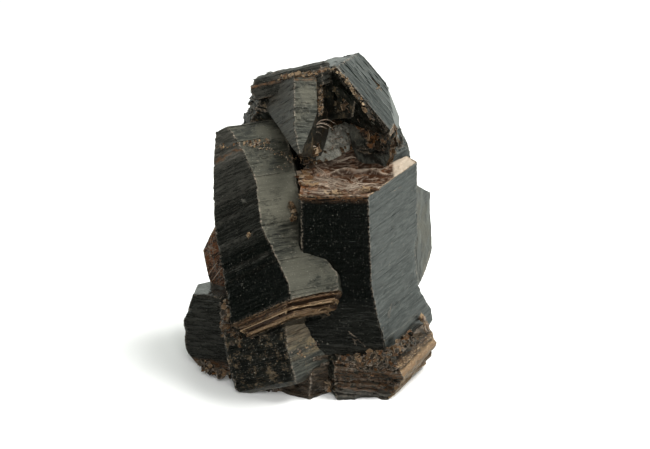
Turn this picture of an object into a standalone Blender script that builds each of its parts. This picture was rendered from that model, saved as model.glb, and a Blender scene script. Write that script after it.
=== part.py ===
"""A cluster of dark mica crystals grown together, as one closed solid.

Each crystal is a book of six-sided sheets. A book is a loft of hexagon rings, whose six
sides keep their directions while their distances from the book's own axis change. The
books are joined, and the cluster is cut off flat where it grew on its rock.

Units: the tables are in millimetres and degrees, and MM turns them into metres.
World frame: +Z up, +X to the right, -Y to the front, origin in the middle of the base.
The tables are laid out round a point close to it, and MIDDLE moves them onto it.
"""

import math
import random
from typing import NamedTuple

import bmesh
import bpy
from mathutils import Matrix, Vector

MM = 0.001
SIDES = 6
MIDDLE = (-0.55, 0.05, 0.0)  # middle of the cluster's base in the tables; it becomes the origin
LEDGE_RISE = 0.12  # height over which a sheet's outline steps to the next one's
LEDGE_JITTER = 0.22  # most that one sheet's side stands proud of the book's plain wall
SEED = 23
GROUND_DEPTH = 40.0  # thickness of the block that cuts the foot flat
GROUND_SIZE = 160.0
CLUSTER_NAME = "mica_crystal"
COLOUR = (0.018, 0.019, 0.018, 1.0)
ROUGHNESS = 0.32


class Book(NamedTuple):
    """One crystal.

    lean: degrees that its axis tips to the right and to the back.
    spin: direction of the first side's normal before the book is tipped; each next one is
        60 degrees further round.
    foot: where its axis starts.
    sheets: how many ledged sheets its height is divided into.
    stations: (height, distances of the six sides from the axis), from the bottom up.
    chips: (point, direction) of planes that have broken off what lies beyond them.
    """

    name: str
    lean: tuple
    spin: float
    foot: tuple
    sheets: int
    stations: tuple
    chips: tuple = ()


BOOKS = (
    # The large upright book at the right, with its brown end face on top.
    Book("right", (0, 0), 30, (8, 2, -0.9), 24, (
        (2.0, (13.5, 14, 17, 15, 13.5, 12.0)),
        (8.5, (17.4, 14, 17, 16.2, 15.2, 14.2)),
        (11.5, (16.5, 14, 17, 16.2, 15.4, 14.2)),
        (14.5, (14.5, 14, 17, 16.2, 15.4, 13.7)),
        (18.0, (12.9, 14, 17, 16.2, 15.4, 12.8)),
        (25.5, (12.6, 13, 17, 16.2, 15.4, 11.6)),
        (28.5, (13.7, 12, 16, 16.2, 15.4, 11.5)),
        (45.3, (13.6, 10, 8, 16.2, 15.4, 10.9)),
    ), chips=(
        ((-2.4, -13.0, 30.0), (-1.0, 0.06, 0.0)),
    )),
    # The large book at the left, tipped back over the rest.
    Book("left", (-15, 37), 50, (-8, -8, 18.9), 30, (
        (-4.0, (12, 12, 8.8, 9.3, 15.2, 15.0)),
        (-0.5, (12, 12, 8.2, 9.3, 15.5, 15.7)),
        (5.5, (11, 10, 7.8, 9.3, 14.4, 12.4)),
        (9.0, (10, 9, 7.5, 9.3, 13.7, 11.0)),
        (12.5, (9.5, 8, 7.2, 9.3, 13.0, 11.1)),
        (17.0, (9, 7, 6.6, 9.3, 13.7, 12.3)),
        (22.0, (9, 6, 5.4, 9.3, 14.6, 12.9)),
        (29.5, (9, 4, 3.0, 9.3, 13.3, 13.0)),
        (35.5, (9, 3, 0.9, 8.6, 10.5, 11.5)),
    )),
    # Its loose brown sheets, standing out in turn below it.
    Book("left_leaves", (-15, 37), 50, (-8, -8, 18.9), 6, (
        (-8.0, (9, 10, 6.5, 7.0, 12.0, 12.0)),
        (-3.9, (10, 11, 8.0, 8.5, 14.3, 14.2)),
    )),
    # The book at the top left, with a long side to the left.
    Book("upper_left", (0, 43), 33, (-4, -4, 42), 15, (
        (4.0, (9, 10, 10.6, 3.6, 9.4, 9.0)),
        (6.0, (9, 10, 11.6, 4.1, 9.8, 9.3)),
        (10.0, (9, 10.5, 12.0, 4.1, 8.8, 9.3)),
        (21.5, (9, 10.8, 12.6, 4.1, 8.6, 9.0)),
        (22.3, (8, 10, 12.2, 3.6, 7.6, 9.8)),
        (25.2, (8, 10, 12.0, 3.4, 7.3, 10.5)),
        (27.4, (7, 9.5, 11.6, 3.2, 4.0, 4.0)),
    ), chips=(
        ((0.0, 19.5, 0.0), (-0.1, 1.0, -0.1)),
        ((-5.5, -3.0, 53.0), (-0.65, -0.1, -0.75)),
    )),
    # What it stands on, with its broken end to the left.
    Book("upper_left_end", (12, 12), 15, (-9.5, 10.5, 38), 10, (
        (0.0, (7, 6, 7, 8, 7, 7)),
        (15.0, (5, 5, 6.6, 6.8, 6.5, 6)),
        (22.5, (4, 4, 5, 4.6, 5, 5)),
    )),
    # The thick plate at the top right, its end face to the front and its long side up.
    Book("upper_right", (-33.4, -96.2), 50, (5.1, 5.3, 53.7), 13, (
        (-14.0, (5.0, 9.5, 9, 12, 14, 11.0)),
        (-6.0, (7.6, 10.5, 9, 12, 14, 12.0)),
        (-4.6, (9.2, 11.2, 9, 12, 14, 12.4)),
        (0.0, (9.5, 11.2, 9, 12, 13, 13.0)),
    ), chips=(
        ((17.4, 10.0, 54.0), (0.93, 0.0, 0.37)),
        ((0.0, 20.0, 0.0), (0.0, 1.0, 0.05)),
    )),
    # The book under the left one, at the front.
    Book("lower_front", (-17.5, 16), 5, (-4, -8, 4), 12, (
        (-3.0, (8, 8, 10, 10.5, 8.0, 7.5)),
        (-1.2, (10, 10, 12, 13.0, 10.0, 9.6)),
        (4.0, (10, 10, 12, 12.8, 10.0, 9.8)),
        (12.0, (10, 10, 12, 11.5, 9.0, 10.6)),
    )),
    # The dull rounded book at the far left.
    Book("lower_left", (-8, 8), 15, (-16, 2, 0), 11, (
        (-1.0, (9, 12, 8.5, 7.5, 8, 8)),
        (4.0, (10, 12, 11.0, 10.0, 9, 9)),
        (11.0, (9, 11, 9.5, 9.4, 9, 9)),
        (17.0, (7, 9, 5.5, 6.5, 7, 7)),
    )),
    # The brown plate behind the left book.
    Book("left_behind", (-48, -70), 20, (-16, 6, 24), 8, (
        (-9.0, (9, 9.0, 6.8, 9, 9, 9)),
        (2.0, (9, 9.5, 6.5, 9, 9, 9)),
    )),
    # The plate behind the right book.
    Book("right_behind", (70, -90), 0, (15.2, 10.6, 28.6), 9, (
        (-6.0, (10, 8, 8, 11, 8, 8)),
        (7.4, (11, 8, 8, 11, 8, 8)),
    ), chips=(
        ((0.0, 20.5, 0.0), (0.0, 1.0, 0.1)),
    )),
    # The book at the lower right, under the large one.
    Book("lower_right", (6, -8), 30, (9.4, -3, 0), 11, (
        (-2.0, (11, 14, 14, 9, 12.5, 10.0)),
        (0.0, (12, 14, 14, 10, 14.2, 11.5)),
        (3.0, (13.6, 14, 14, 11, 13.8, 13.0)),
        (7.5, (15.3, 14, 14, 11, 12.6, 14.3)),
        (10.0, (14.8, 12, 12, 10, 11.0, 12.6)),
    )),
    # The crystals at the back.
    Book("rear_left", (-4, 2), 40, (-9.5, 8, 0), 14, (
        (-2.0, (9, 11, 10, 8, 9, 9)),
        (14.0, (9, 11.5, 9, 8, 10, 10)),
        (30.0, (10, 10, 8, 7, 9, 10)),
        (46.0, (9, 8, 7, 6, 8, 9)),
    )),
    Book("rear_middle", (3, -4), 0, (4, 9.5, 0), 14, (
        (-2.0, (10, 10, 10, 10, 10, 10)),
        (12.0, (11, 11.5, 10, 10, 10, 10)),
        (26.0, (10, 11, 11, 10, 10, 10)),
        (52.0, (8, 8, 8, 8, 6, 6)),
    )),
    Book("upper_back", (-18, 4), 20, (10, 8.5, 28), 10, (
        (0.0, (11, 7, 10, 8, 7, 9)),
        (13.0, (14.6, 8, 11, 9, 8, 12.5)),
        (25.0, (13.6, 7, 10, 8, 7, 11.5)),
    )),
    Book("rear_end", (12, 48), 20, (1, 8.5, 25), 8, (
        (-2.0, (8, 8, 8, 8, 8, 8)),
        (12.0, (8, 7.5, 8, 8, 7.5, 7.5)),
    ), chips=(
        ((0.0, 21.0, 0.0), (0.1, 1.0, 0.2)),
    )),
    Book("rear_right", (10, 14), 45, (10, 6, 0), 11, (
        (-4.0, (11, 10, 10, 10, 10, 9)),
        (10.0, (10, 9.5, 10, 10, 10, 9)),
        (22.0, (8, 8, 9, 9, 9, 8)),
    )),
    # What the cluster stands on: broken crystals grown into each other.
    Book("foot_front", (4, 3), 5, (-4, -1, 0), 6, (
        (-2.0, (16, 14, 14, 12, 12.5, 15)),
        (4.0, (18, 15, 16, 13, 13.5, 16)),
        (9.0, (17, 15, 16, 12, 12.0, 15)),
    )),
    Book("foot_back", (-6, 6), 25, (-2, 4, 0), 8, (
        (-2.0, (16, 12, 15, 13, 12, 15)),
        (5.0, (17, 12.5, 16, 14, 13, 16)),
        (15.0, (15, 10, 13, 12, 11, 14)),
    )),
)
# Hollows where sheets have broken out, shaped like the sheets that are gone.
HOLLOWS = (
    # Under the rim of the upper right plate, down to the right book's end face.
    Book("broken_hollow", (-33.4, -96.2), 50, (12.6, 0.4, 53.2), 5, (
        (-6.5, (-2.5, -2.5, 2.6, 6, 10.0, 6.3)),
        (-3.0, (0.5, 3.0, 5.0, 6, 9.5, 7.0)),
        (0.5, (2.9, 7.4, 5.9, 6, 9.5, 7.5)),
        (6.0, (2.9, 7.4, 5.9, 6, 9.5, 7.5)),
    ), chips=(
        ((0.0, 0.0, 44.9), (0.05, 0.1, -1.0)),
    )),
    # The pocket at the left of the small grey book.
    Book("pocket", (0, 43), 33, (1.8, -1.5, 47.0), 3, (
        (-2.0, (2.0, 2.0, 2.4, 3.4, 4.2, 3.4)),
        (4.0, (2.2, 2.6, 2.4, 3.4, 5.0, 3.4)),
    )),
)
# Small crystals and broken pieces that stand in the hollows.
IN_HOLLOWS = (
    # The small grey book in front of the upper plate.
    Book("middle", (0, 38), 28, (6.6, 1.5, 41), 8, (
        (0.0, (5, 6, 7, 4.5, 5.0, 5)),
        (9.0, (4.5, 6, 6, 4.4, 4.6, 4.4)),
        (12.5, (4, 6, 6, 4.0, 4.2, 3.6)),
    )),
    # Broken sheets under the rim, with their ends to the front.
    Book("broken_near", (-33.4, -80), 30, (14.5, 8.5, 46.0), 5, (
        (-3.0, (5, 5, 5, 5, 5, 5)),
        (4.0, (3.6, 3.4, 4, 4.0, 3.5, 4)),
    )),
    Book("broken_far", (-20, -60), 10, (16.2, 8.5, 46.5), 5, (
        (-3.0, (4, 5, 6, 5, 5, 3)),
        (4.5, (2.6, 4, 4.4, 4, 3.0, 2.4)),
    )),
)


def book_matrix(book):
    """Place of a book: its axis is local +Z, tipped to the right and then to the back."""
    right, back = (math.radians(angle) for angle in book.lean)
    turn = (
        Matrix.Rotation(-back, 4, "X")
        @ Matrix.Rotation(right, 4, "Y")
        @ Matrix.Rotation(math.radians(book.spin), 4, "Z")
    )
    return Matrix.Translation((Vector(book.foot) - Vector(MIDDLE)) * MM) @ turn


def ring_corners(distances, height):
    """Corners of the hexagon whose sides lie at these distances from the axis."""
    corners = []
    for side in range(SIDES):
        first = math.tau * side / SIDES
        second = math.tau * (side + 1) / SIDES
        a, b = distances[side], distances[(side + 1) % SIDES]
        det = math.sin(second - first)
        x = (a * math.sin(second) - b * math.sin(first)) / det
        y = (b * math.cos(first) - a * math.cos(second)) / det
        corners.append(Vector((x, y, height)) * MM)
    return corners


def distances_at(book, height):
    """Distances of a book's sides at a height, between its stations."""
    for (low, near), (high, far) in zip(book.stations, book.stations[1:]):
        if height <= high:
            share = (height - low) / (high - low)
            return [a + (b - a) * share for a, b in zip(near, far)]
    return list(book.stations[-1][1])


def sheet_rings(book):
    """Rings of a book from the bottom up: two for each sheet, with a ledge between sheets."""
    chance = random.Random(f"{SEED} {book.name}")
    bottom, top = book.stations[0][0], book.stations[-1][0]
    edges = [bottom + (top - bottom) * number / book.sheets for number in range(book.sheets + 1)]
    rings = []
    for low, high in zip(edges, edges[1:]):
        proud = [chance.uniform(-LEDGE_JITTER, LEDGE_JITTER) for _ in range(SIDES)]
        start = low + (LEDGE_RISE if rings else 0.0)
        for height in (start, high):
            outline = [side + extra for side, extra in zip(distances_at(book, height), proud)]
            rings.append(ring_corners(outline, height))
    return rings


def raise_ring(bm, ring, corners):
    """Extrude a ring of vertices, and move the new ring's vertices onto the corners."""
    edges = [vert.link_edges for vert in ring]
    outline = [edge for found in edges for edge in found if all(v in ring for v in edge.verts)]
    made = bmesh.ops.extrude_edge_only(bm, edges=list(dict.fromkeys(outline)))
    new = {item for item in made["geom"] if isinstance(item, bmesh.types.BMVert)}
    raised = []
    for vert, corner in zip(ring, corners):
        above = next(e.other_vert(vert) for e in vert.link_edges if e.other_vert(vert) in new)
        above.co = corner
        raised.append(above)
    return raised


def build_book(book):
    """One crystal as a mesh: its bottom outline, extruded from ring to ring and closed."""
    mesh = bpy.data.meshes.new(book.name)
    bm = bmesh.new()
    rings = sheet_rings(book)
    ring = list(bmesh.ops.create_circle(bm, cap_ends=False, segments=SIDES, radius=MM)["verts"])
    for vert, corner in zip(ring, rings[0]):
        vert.co = corner
    for corners in rings[1:]:
        ring = raise_ring(bm, ring, corners)
    bmesh.ops.holes_fill(bm, edges=bm.edges[:])
    bmesh.ops.recalc_face_normals(bm, faces=bm.faces[:])
    bm.transform(book_matrix(book))
    for point, direction in book.chips:
        break_off(bm, (Vector(point) - Vector(MIDDLE)) * MM, Vector(direction))
    bm.to_mesh(mesh)
    bm.free()
    return bpy.data.objects.new(book.name, mesh)


def break_off(bm, point, direction):
    """Remove what lies beyond a plane, and close the break."""
    geometry = bm.verts[:] + bm.edges[:] + bm.faces[:]
    cut = bmesh.ops.bisect_plane(
        bm, geom=geometry, plane_co=point, plane_no=direction, clear_outer=True
    )
    edges = [item for item in cut["geom_cut"] if isinstance(item, bmesh.types.BMEdge)]
    bmesh.ops.holes_fill(bm, edges=edges)
    bmesh.ops.recalc_face_normals(bm, faces=bm.faces[:])


def build_ground():
    """The block whose top face cuts the cluster's foot flat."""
    mesh = bpy.data.meshes.new("ground")
    bm = bmesh.new()
    bmesh.ops.create_cube(bm, size=1.0)
    bmesh.ops.scale(bm, verts=bm.verts, vec=Vector((GROUND_SIZE, GROUND_SIZE, GROUND_DEPTH)) * MM)
    bmesh.ops.translate(bm, verts=bm.verts, vec=(0.0, 0.0, -GROUND_DEPTH / 2 * MM))
    bm.to_mesh(mesh)
    bm.free()
    return bpy.data.objects.new("ground", mesh)


def make_material():
    """Dark mica, between dull and glossy."""
    material = bpy.data.materials.new("dark_mica")
    material.use_nodes = True
    shader = material.node_tree.nodes["Principled BSDF"]
    shader.inputs["Base Color"].default_value = COLOUR
    shader.inputs["Roughness"].default_value = ROUGHNESS
    shader.inputs["Metallic"].default_value = 0.0
    return material


def make_collection(name):
    """A new collection in the scene."""
    collection = bpy.data.collections.new(name)
    bpy.context.scene.collection.children.link(collection)
    return collection


def hide_helper(helper):
    """Show a helper as wire and leave it out of a render."""
    helper.hide_render = True
    helper.display_type = "WIRE"


def add_boolean(target, name, operation, **operand):
    """Join to or cut from the target with the exact solver."""
    modifier = target.modifiers.new(name, "BOOLEAN")
    modifier.operation = operation
    modifier.solver = "EXACT"
    modifier.use_self = True
    for key, value in operand.items():
        setattr(modifier, key, value)


def cut_away(cluster, cutter, cutters):
    """Cut one helper's shape out of the cluster."""
    cutters.objects.link(cutter)
    hide_helper(cutter)
    add_boolean(cluster, cutter.name, "DIFFERENCE", operand_type="OBJECT", object=cutter)


def build_cluster():
    """Join the books into one solid, break out its hollows and cut its foot flat."""
    cluster_collection = make_collection("Mica crystal")
    cutters = make_collection("Cutters")
    grown = bpy.data.collections.new("Grown together")
    cutters.children.link(grown)
    cluster, *others = (build_book(book) for book in BOOKS)
    cluster.name = CLUSTER_NAME
    cluster.data.name = CLUSTER_NAME
    cluster_collection.objects.link(cluster)
    for other in others:
        grown.objects.link(other)
        hide_helper(other)
    add_boolean(cluster, "grown_together", "UNION", operand_type="COLLECTION", collection=grown)
    for hollow in HOLLOWS:
        cut_away(cluster, build_book(hollow), cutters)
    regrown = bpy.data.collections.new("In the hollows")
    cutters.children.link(regrown)
    for crystal in IN_HOLLOWS:
        piece = build_book(crystal)
        regrown.objects.link(piece)
        hide_helper(piece)
    add_boolean(cluster, "in_hollows", "UNION", operand_type="COLLECTION", collection=regrown)
    cut_away(cluster, build_ground(), cutters)
    cluster.data.materials.append(make_material())
    return cluster


def main():
    """Clear the scene and build the cluster."""
    for old in list(bpy.data.objects):
        bpy.data.objects.remove(old, do_unlink=True)
    build_cluster()


main()
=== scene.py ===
"""Looks of a cluster of dark mica crystals grown together.

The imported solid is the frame. Here each crystal is built again as a book of fine sheets with
broken edges, ledges and terraced ends, and gets its finish: black and slate cleavage walls,
dusty ones, brown flaky ends and the crust round the foot.

Units: the tables are in millimetres and degrees, and MM turns them into metres.
World frame: +Z up, +X to the right, -Y to the front.
"""

import logging
import math
import random
from collections.abc import Iterable, Sequence
from dataclasses import dataclass, field
from enum import Enum

import bmesh
import bpy
from bmesh.types import BMEdge, BMesh, BMFace, BMLayerItem, BMVert
from bpy.types import Material, Node, NodeSocket, Object, ShaderNodeTree
from mathutils import Matrix, Vector, noise

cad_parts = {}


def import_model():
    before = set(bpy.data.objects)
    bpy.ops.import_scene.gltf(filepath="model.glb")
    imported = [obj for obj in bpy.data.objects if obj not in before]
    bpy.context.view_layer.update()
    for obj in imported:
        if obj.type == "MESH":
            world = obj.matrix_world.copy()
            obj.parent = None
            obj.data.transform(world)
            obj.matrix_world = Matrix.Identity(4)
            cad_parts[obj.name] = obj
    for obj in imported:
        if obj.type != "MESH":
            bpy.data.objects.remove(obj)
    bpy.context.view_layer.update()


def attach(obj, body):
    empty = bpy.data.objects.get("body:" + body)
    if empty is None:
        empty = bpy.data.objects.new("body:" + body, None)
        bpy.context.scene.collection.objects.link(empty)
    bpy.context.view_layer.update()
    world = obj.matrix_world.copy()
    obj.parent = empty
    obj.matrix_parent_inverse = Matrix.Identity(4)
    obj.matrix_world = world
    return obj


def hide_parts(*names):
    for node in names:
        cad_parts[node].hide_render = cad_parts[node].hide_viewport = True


LOG = logging.getLogger("mica")
MM = 0.001
SIDES = 6
MIDDLE = (-0.55, 0.05, 0.0)  # of the cluster, in the tables' coordinates
SEED = 23
NODE = "mica_crystal"
BODY = "root"
REFRACTION = 1.58

Triple = tuple[float, float, float]
Station = tuple[float, tuple[float, ...]]
Layers = dict[str, BMLayerItem]
Value = NodeSocket | float | Sequence[float]


class Finish(Enum):
    """The finishes of the cluster's surfaces."""

    BLACK = "black_wall"
    SLATE = "slate_wall"
    DUSTY = "dusty_wall"
    GREY = "grey_wall"
    SPECKLED = "speckled_break"
    CRUSTED = "crusted_wall"
    PATINA = "patina_wall"
    FLAKY = "flaky_end"
    LEAVES = "loose_leaves"
    GLASSY = "glassy_plate"
    CRUST = "crust"
    CROWN = "brown_crown"


BLACK, SLATE, DUSTY, GREY, SPECKLED, CRUSTED, PATINA, FLAKY, LEAVES, GLASSY, CRUST, CROWN = Finish


def clamp(value: float) -> float:
    """A value held between 0 and 1."""
    return min(1.0, max(0.0, value))


def bell(value: float, width: float) -> float:
    """1 where a value is 0, fading away on both sides over about the width."""
    return math.exp(-((value / width) ** 2))


def wander(x: float, y: float, z: float) -> float:
    """Smooth noise from -1 to 1 at a place."""
    return noise.noise(Vector((x, y, z)))


def scatter(chance: random.Random, low: float, high: float) -> Vector:
    """A draw in a cube that reaches from low to high."""
    return Vector([chance.uniform(low, high) for _ in range(3)])


def sheet_tone(leaf: int) -> float:
    """A number from 0 to 1 that looks drawn, and is the same for a sheet each time."""
    return math.modf(math.sin(leaf * 12.9898 + 4.1) * 43758.5453)[0] % 1.0


def add_layers(bm: BMesh) -> Layers:
    """Add the masks that the finishes read, and the crystal's own coordinates.

    Args:
        bm: the mesh.

    Returns:
        The layers by name.
    """
    layers = {name: bm.verts.layers.float.new(name) for name in ("leaf", "edge", "dust", "rust")}
    layers["crystal"] = bm.verts.layers.float_vector.new("crystal")
    return layers


def cut_away(bm: BMesh, point: Vector, direction: Vector) -> list[BMEdge]:
    """Remove what lies beyond a plane.

    Args:
        bm: the mesh.
        point: on the plane.
        direction: away from what stays.

    Returns:
        The edges of the cut.
    """
    everything = bm.verts[:] + bm.edges[:] + bm.faces[:]
    cut = bmesh.ops.bisect_plane(bm, geom=everything, plane_co=point, plane_no=direction, clear_outer=True)
    return [item for item in cut["geom_cut"] if isinstance(item, BMEdge)]


def break_off(bm: BMesh, point: Vector, direction: Vector, broken: int = 0) -> None:
    """Remove what lies beyond a plane, and close the break.

    Args:
        bm: the mesh, in metres.
        point: on the plane.
        direction: away from what stays.
        broken: material index of the break.
    """
    edges = cut_away(bm, point, direction)
    for face in bmesh.ops.holes_fill(bm, edges=edges)["faces"]:
        face.material_index = broken
    bmesh.ops.recalc_face_normals(bm, faces=bm.faces[:])


def cut_foot(bm: BMesh) -> None:
    """Remove what lies under the floor."""
    if min(vert.co.z for vert in bm.verts) < 0.0:
        break_off(bm, Vector(), Vector((0.0, 0.0, -1.0)))


def grow(bm: BMesh, ring: Sequence[BMEdge]) -> tuple[list[BMVert], list[BMEdge], list[BMFace]]:
    """Extrude a ring of edges.

    Args:
        bm: the mesh.
        ring: the edges.

    Returns:
        The points and the edges of the new ring, and the faces between the two.
    """
    made = bmesh.ops.extrude_edge_only(bm, edges=ring)["geom"]
    fresh = [item for item in made if isinstance(item, BMVert)]
    edges = [item for item in made if isinstance(item, BMEdge) and set(item.verts) <= set(fresh)]
    return fresh, edges, [item for item in made if isinstance(item, BMFace)]


def make_piece(name: str, bm: BMesh, materials: Iterable[Material]) -> Object:
    """Turn a finished mesh into an object at the origin.

    Args:
        name: of the object.
        bm: the mesh in metres, freed here.
        materials: for its slots.

    Returns:
        The object, linked to the scene.
    """
    mesh = bpy.data.meshes.new(name)
    bm.to_mesh(mesh)
    bm.free()
    for material in materials:
        mesh.materials.append(material)
    piece = bpy.data.objects.new(name, mesh)
    bpy.context.scene.collection.objects.link(piece)
    return piece


@dataclass(frozen=True)
class Texture:
    """How a book is broken up, in millimetres.

    leaf is the mean thickness of a sheet, proud the most that it stands out from its
    neighbours, ragged the unevenness of its edge, gap the depth of the notches where the edge
    has broken back, on gap_share of the outline. sway bends the walls. top and bottom are the
    depths of the terraces on the ends, and dish how far the top lies inside a thin rim. steps
    is the number of columns along each side.
    """

    leaf: float = 0.55
    proud: float = 0.05
    ragged: float = 0.05
    gap: float = 0.14
    gap_share: float = 0.2
    sway: float = 0.12
    chip: float = 0.5
    top: float = 0.8
    bottom: float = 0.5
    terrace: float = 0.16
    dish: float = 0.0
    steps: int = 18


@dataclass(frozen=True)
class Paint:
    """Dust and rust on a book's walls between two heights; a negative dust darkens, and on some walls the
    dust paints are painted shade. side None means all round.
    """

    side: int | None
    low: float
    high: float
    dust: float = 0.0
    rust: float = 0.0


@dataclass(frozen=True)
class Book:
    """One crystal: a stack of six-sided sheets whose sides move in and out on the way up.

    lean tips its axis to the right and to the back, spin turns its first side, foot is where
    the axis starts, stations are (height, distances of the six sides), and chips are planes
    that have broken off what lies beyond them. finishes are those of the six sides, the top
    and the bottom.
    """

    name: str
    lean: tuple[float, float]
    spin: float
    foot: Triple
    stations: tuple[Station, ...]
    finishes: tuple[Finish, ...]
    chips: tuple[tuple[Triple, Triple], ...] = ()
    texture: Texture = field(default_factory=Texture)
    paints: tuple[Paint, ...] = ()

    def matrix(self) -> Matrix:
        """Place of the book in the world.

        Returns:
            The matrix, in metres.
        """
        right, back = (math.radians(angle) for angle in self.lean)
        turn = (
            Matrix.Rotation(-back, 4, "X")
            @ Matrix.Rotation(right, 4, "Y")
            @ Matrix.Rotation(math.radians(self.spin), 4, "Z")
        )
        return Matrix.Translation((Vector(self.foot) - Vector(MIDDLE)) * MM) @ turn

    def distances(self, height: float) -> list[float]:
        """Distances of the sides from the axis at a height.

        Args:
            height: along the book's axis, in millimetres.

        Returns:
            One distance for each side, in millimetres.
        """
        for (low, near), (high, far) in zip(self.stations, self.stations[1:]):
            if height <= high:
                share = max(0.0, (height - low) / (high - low))
                return [a + (b - a) * share for a, b in zip(near, far)]
        return list(self.stations[-1][1])


def same(finish: Finish, top: Finish = FLAKY, bottom: Finish = FLAKY) -> tuple[Finish, ...]:
    """Finishes of a book whose six sides are alike."""
    return (finish,) * SIDES + (top, bottom)


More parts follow.
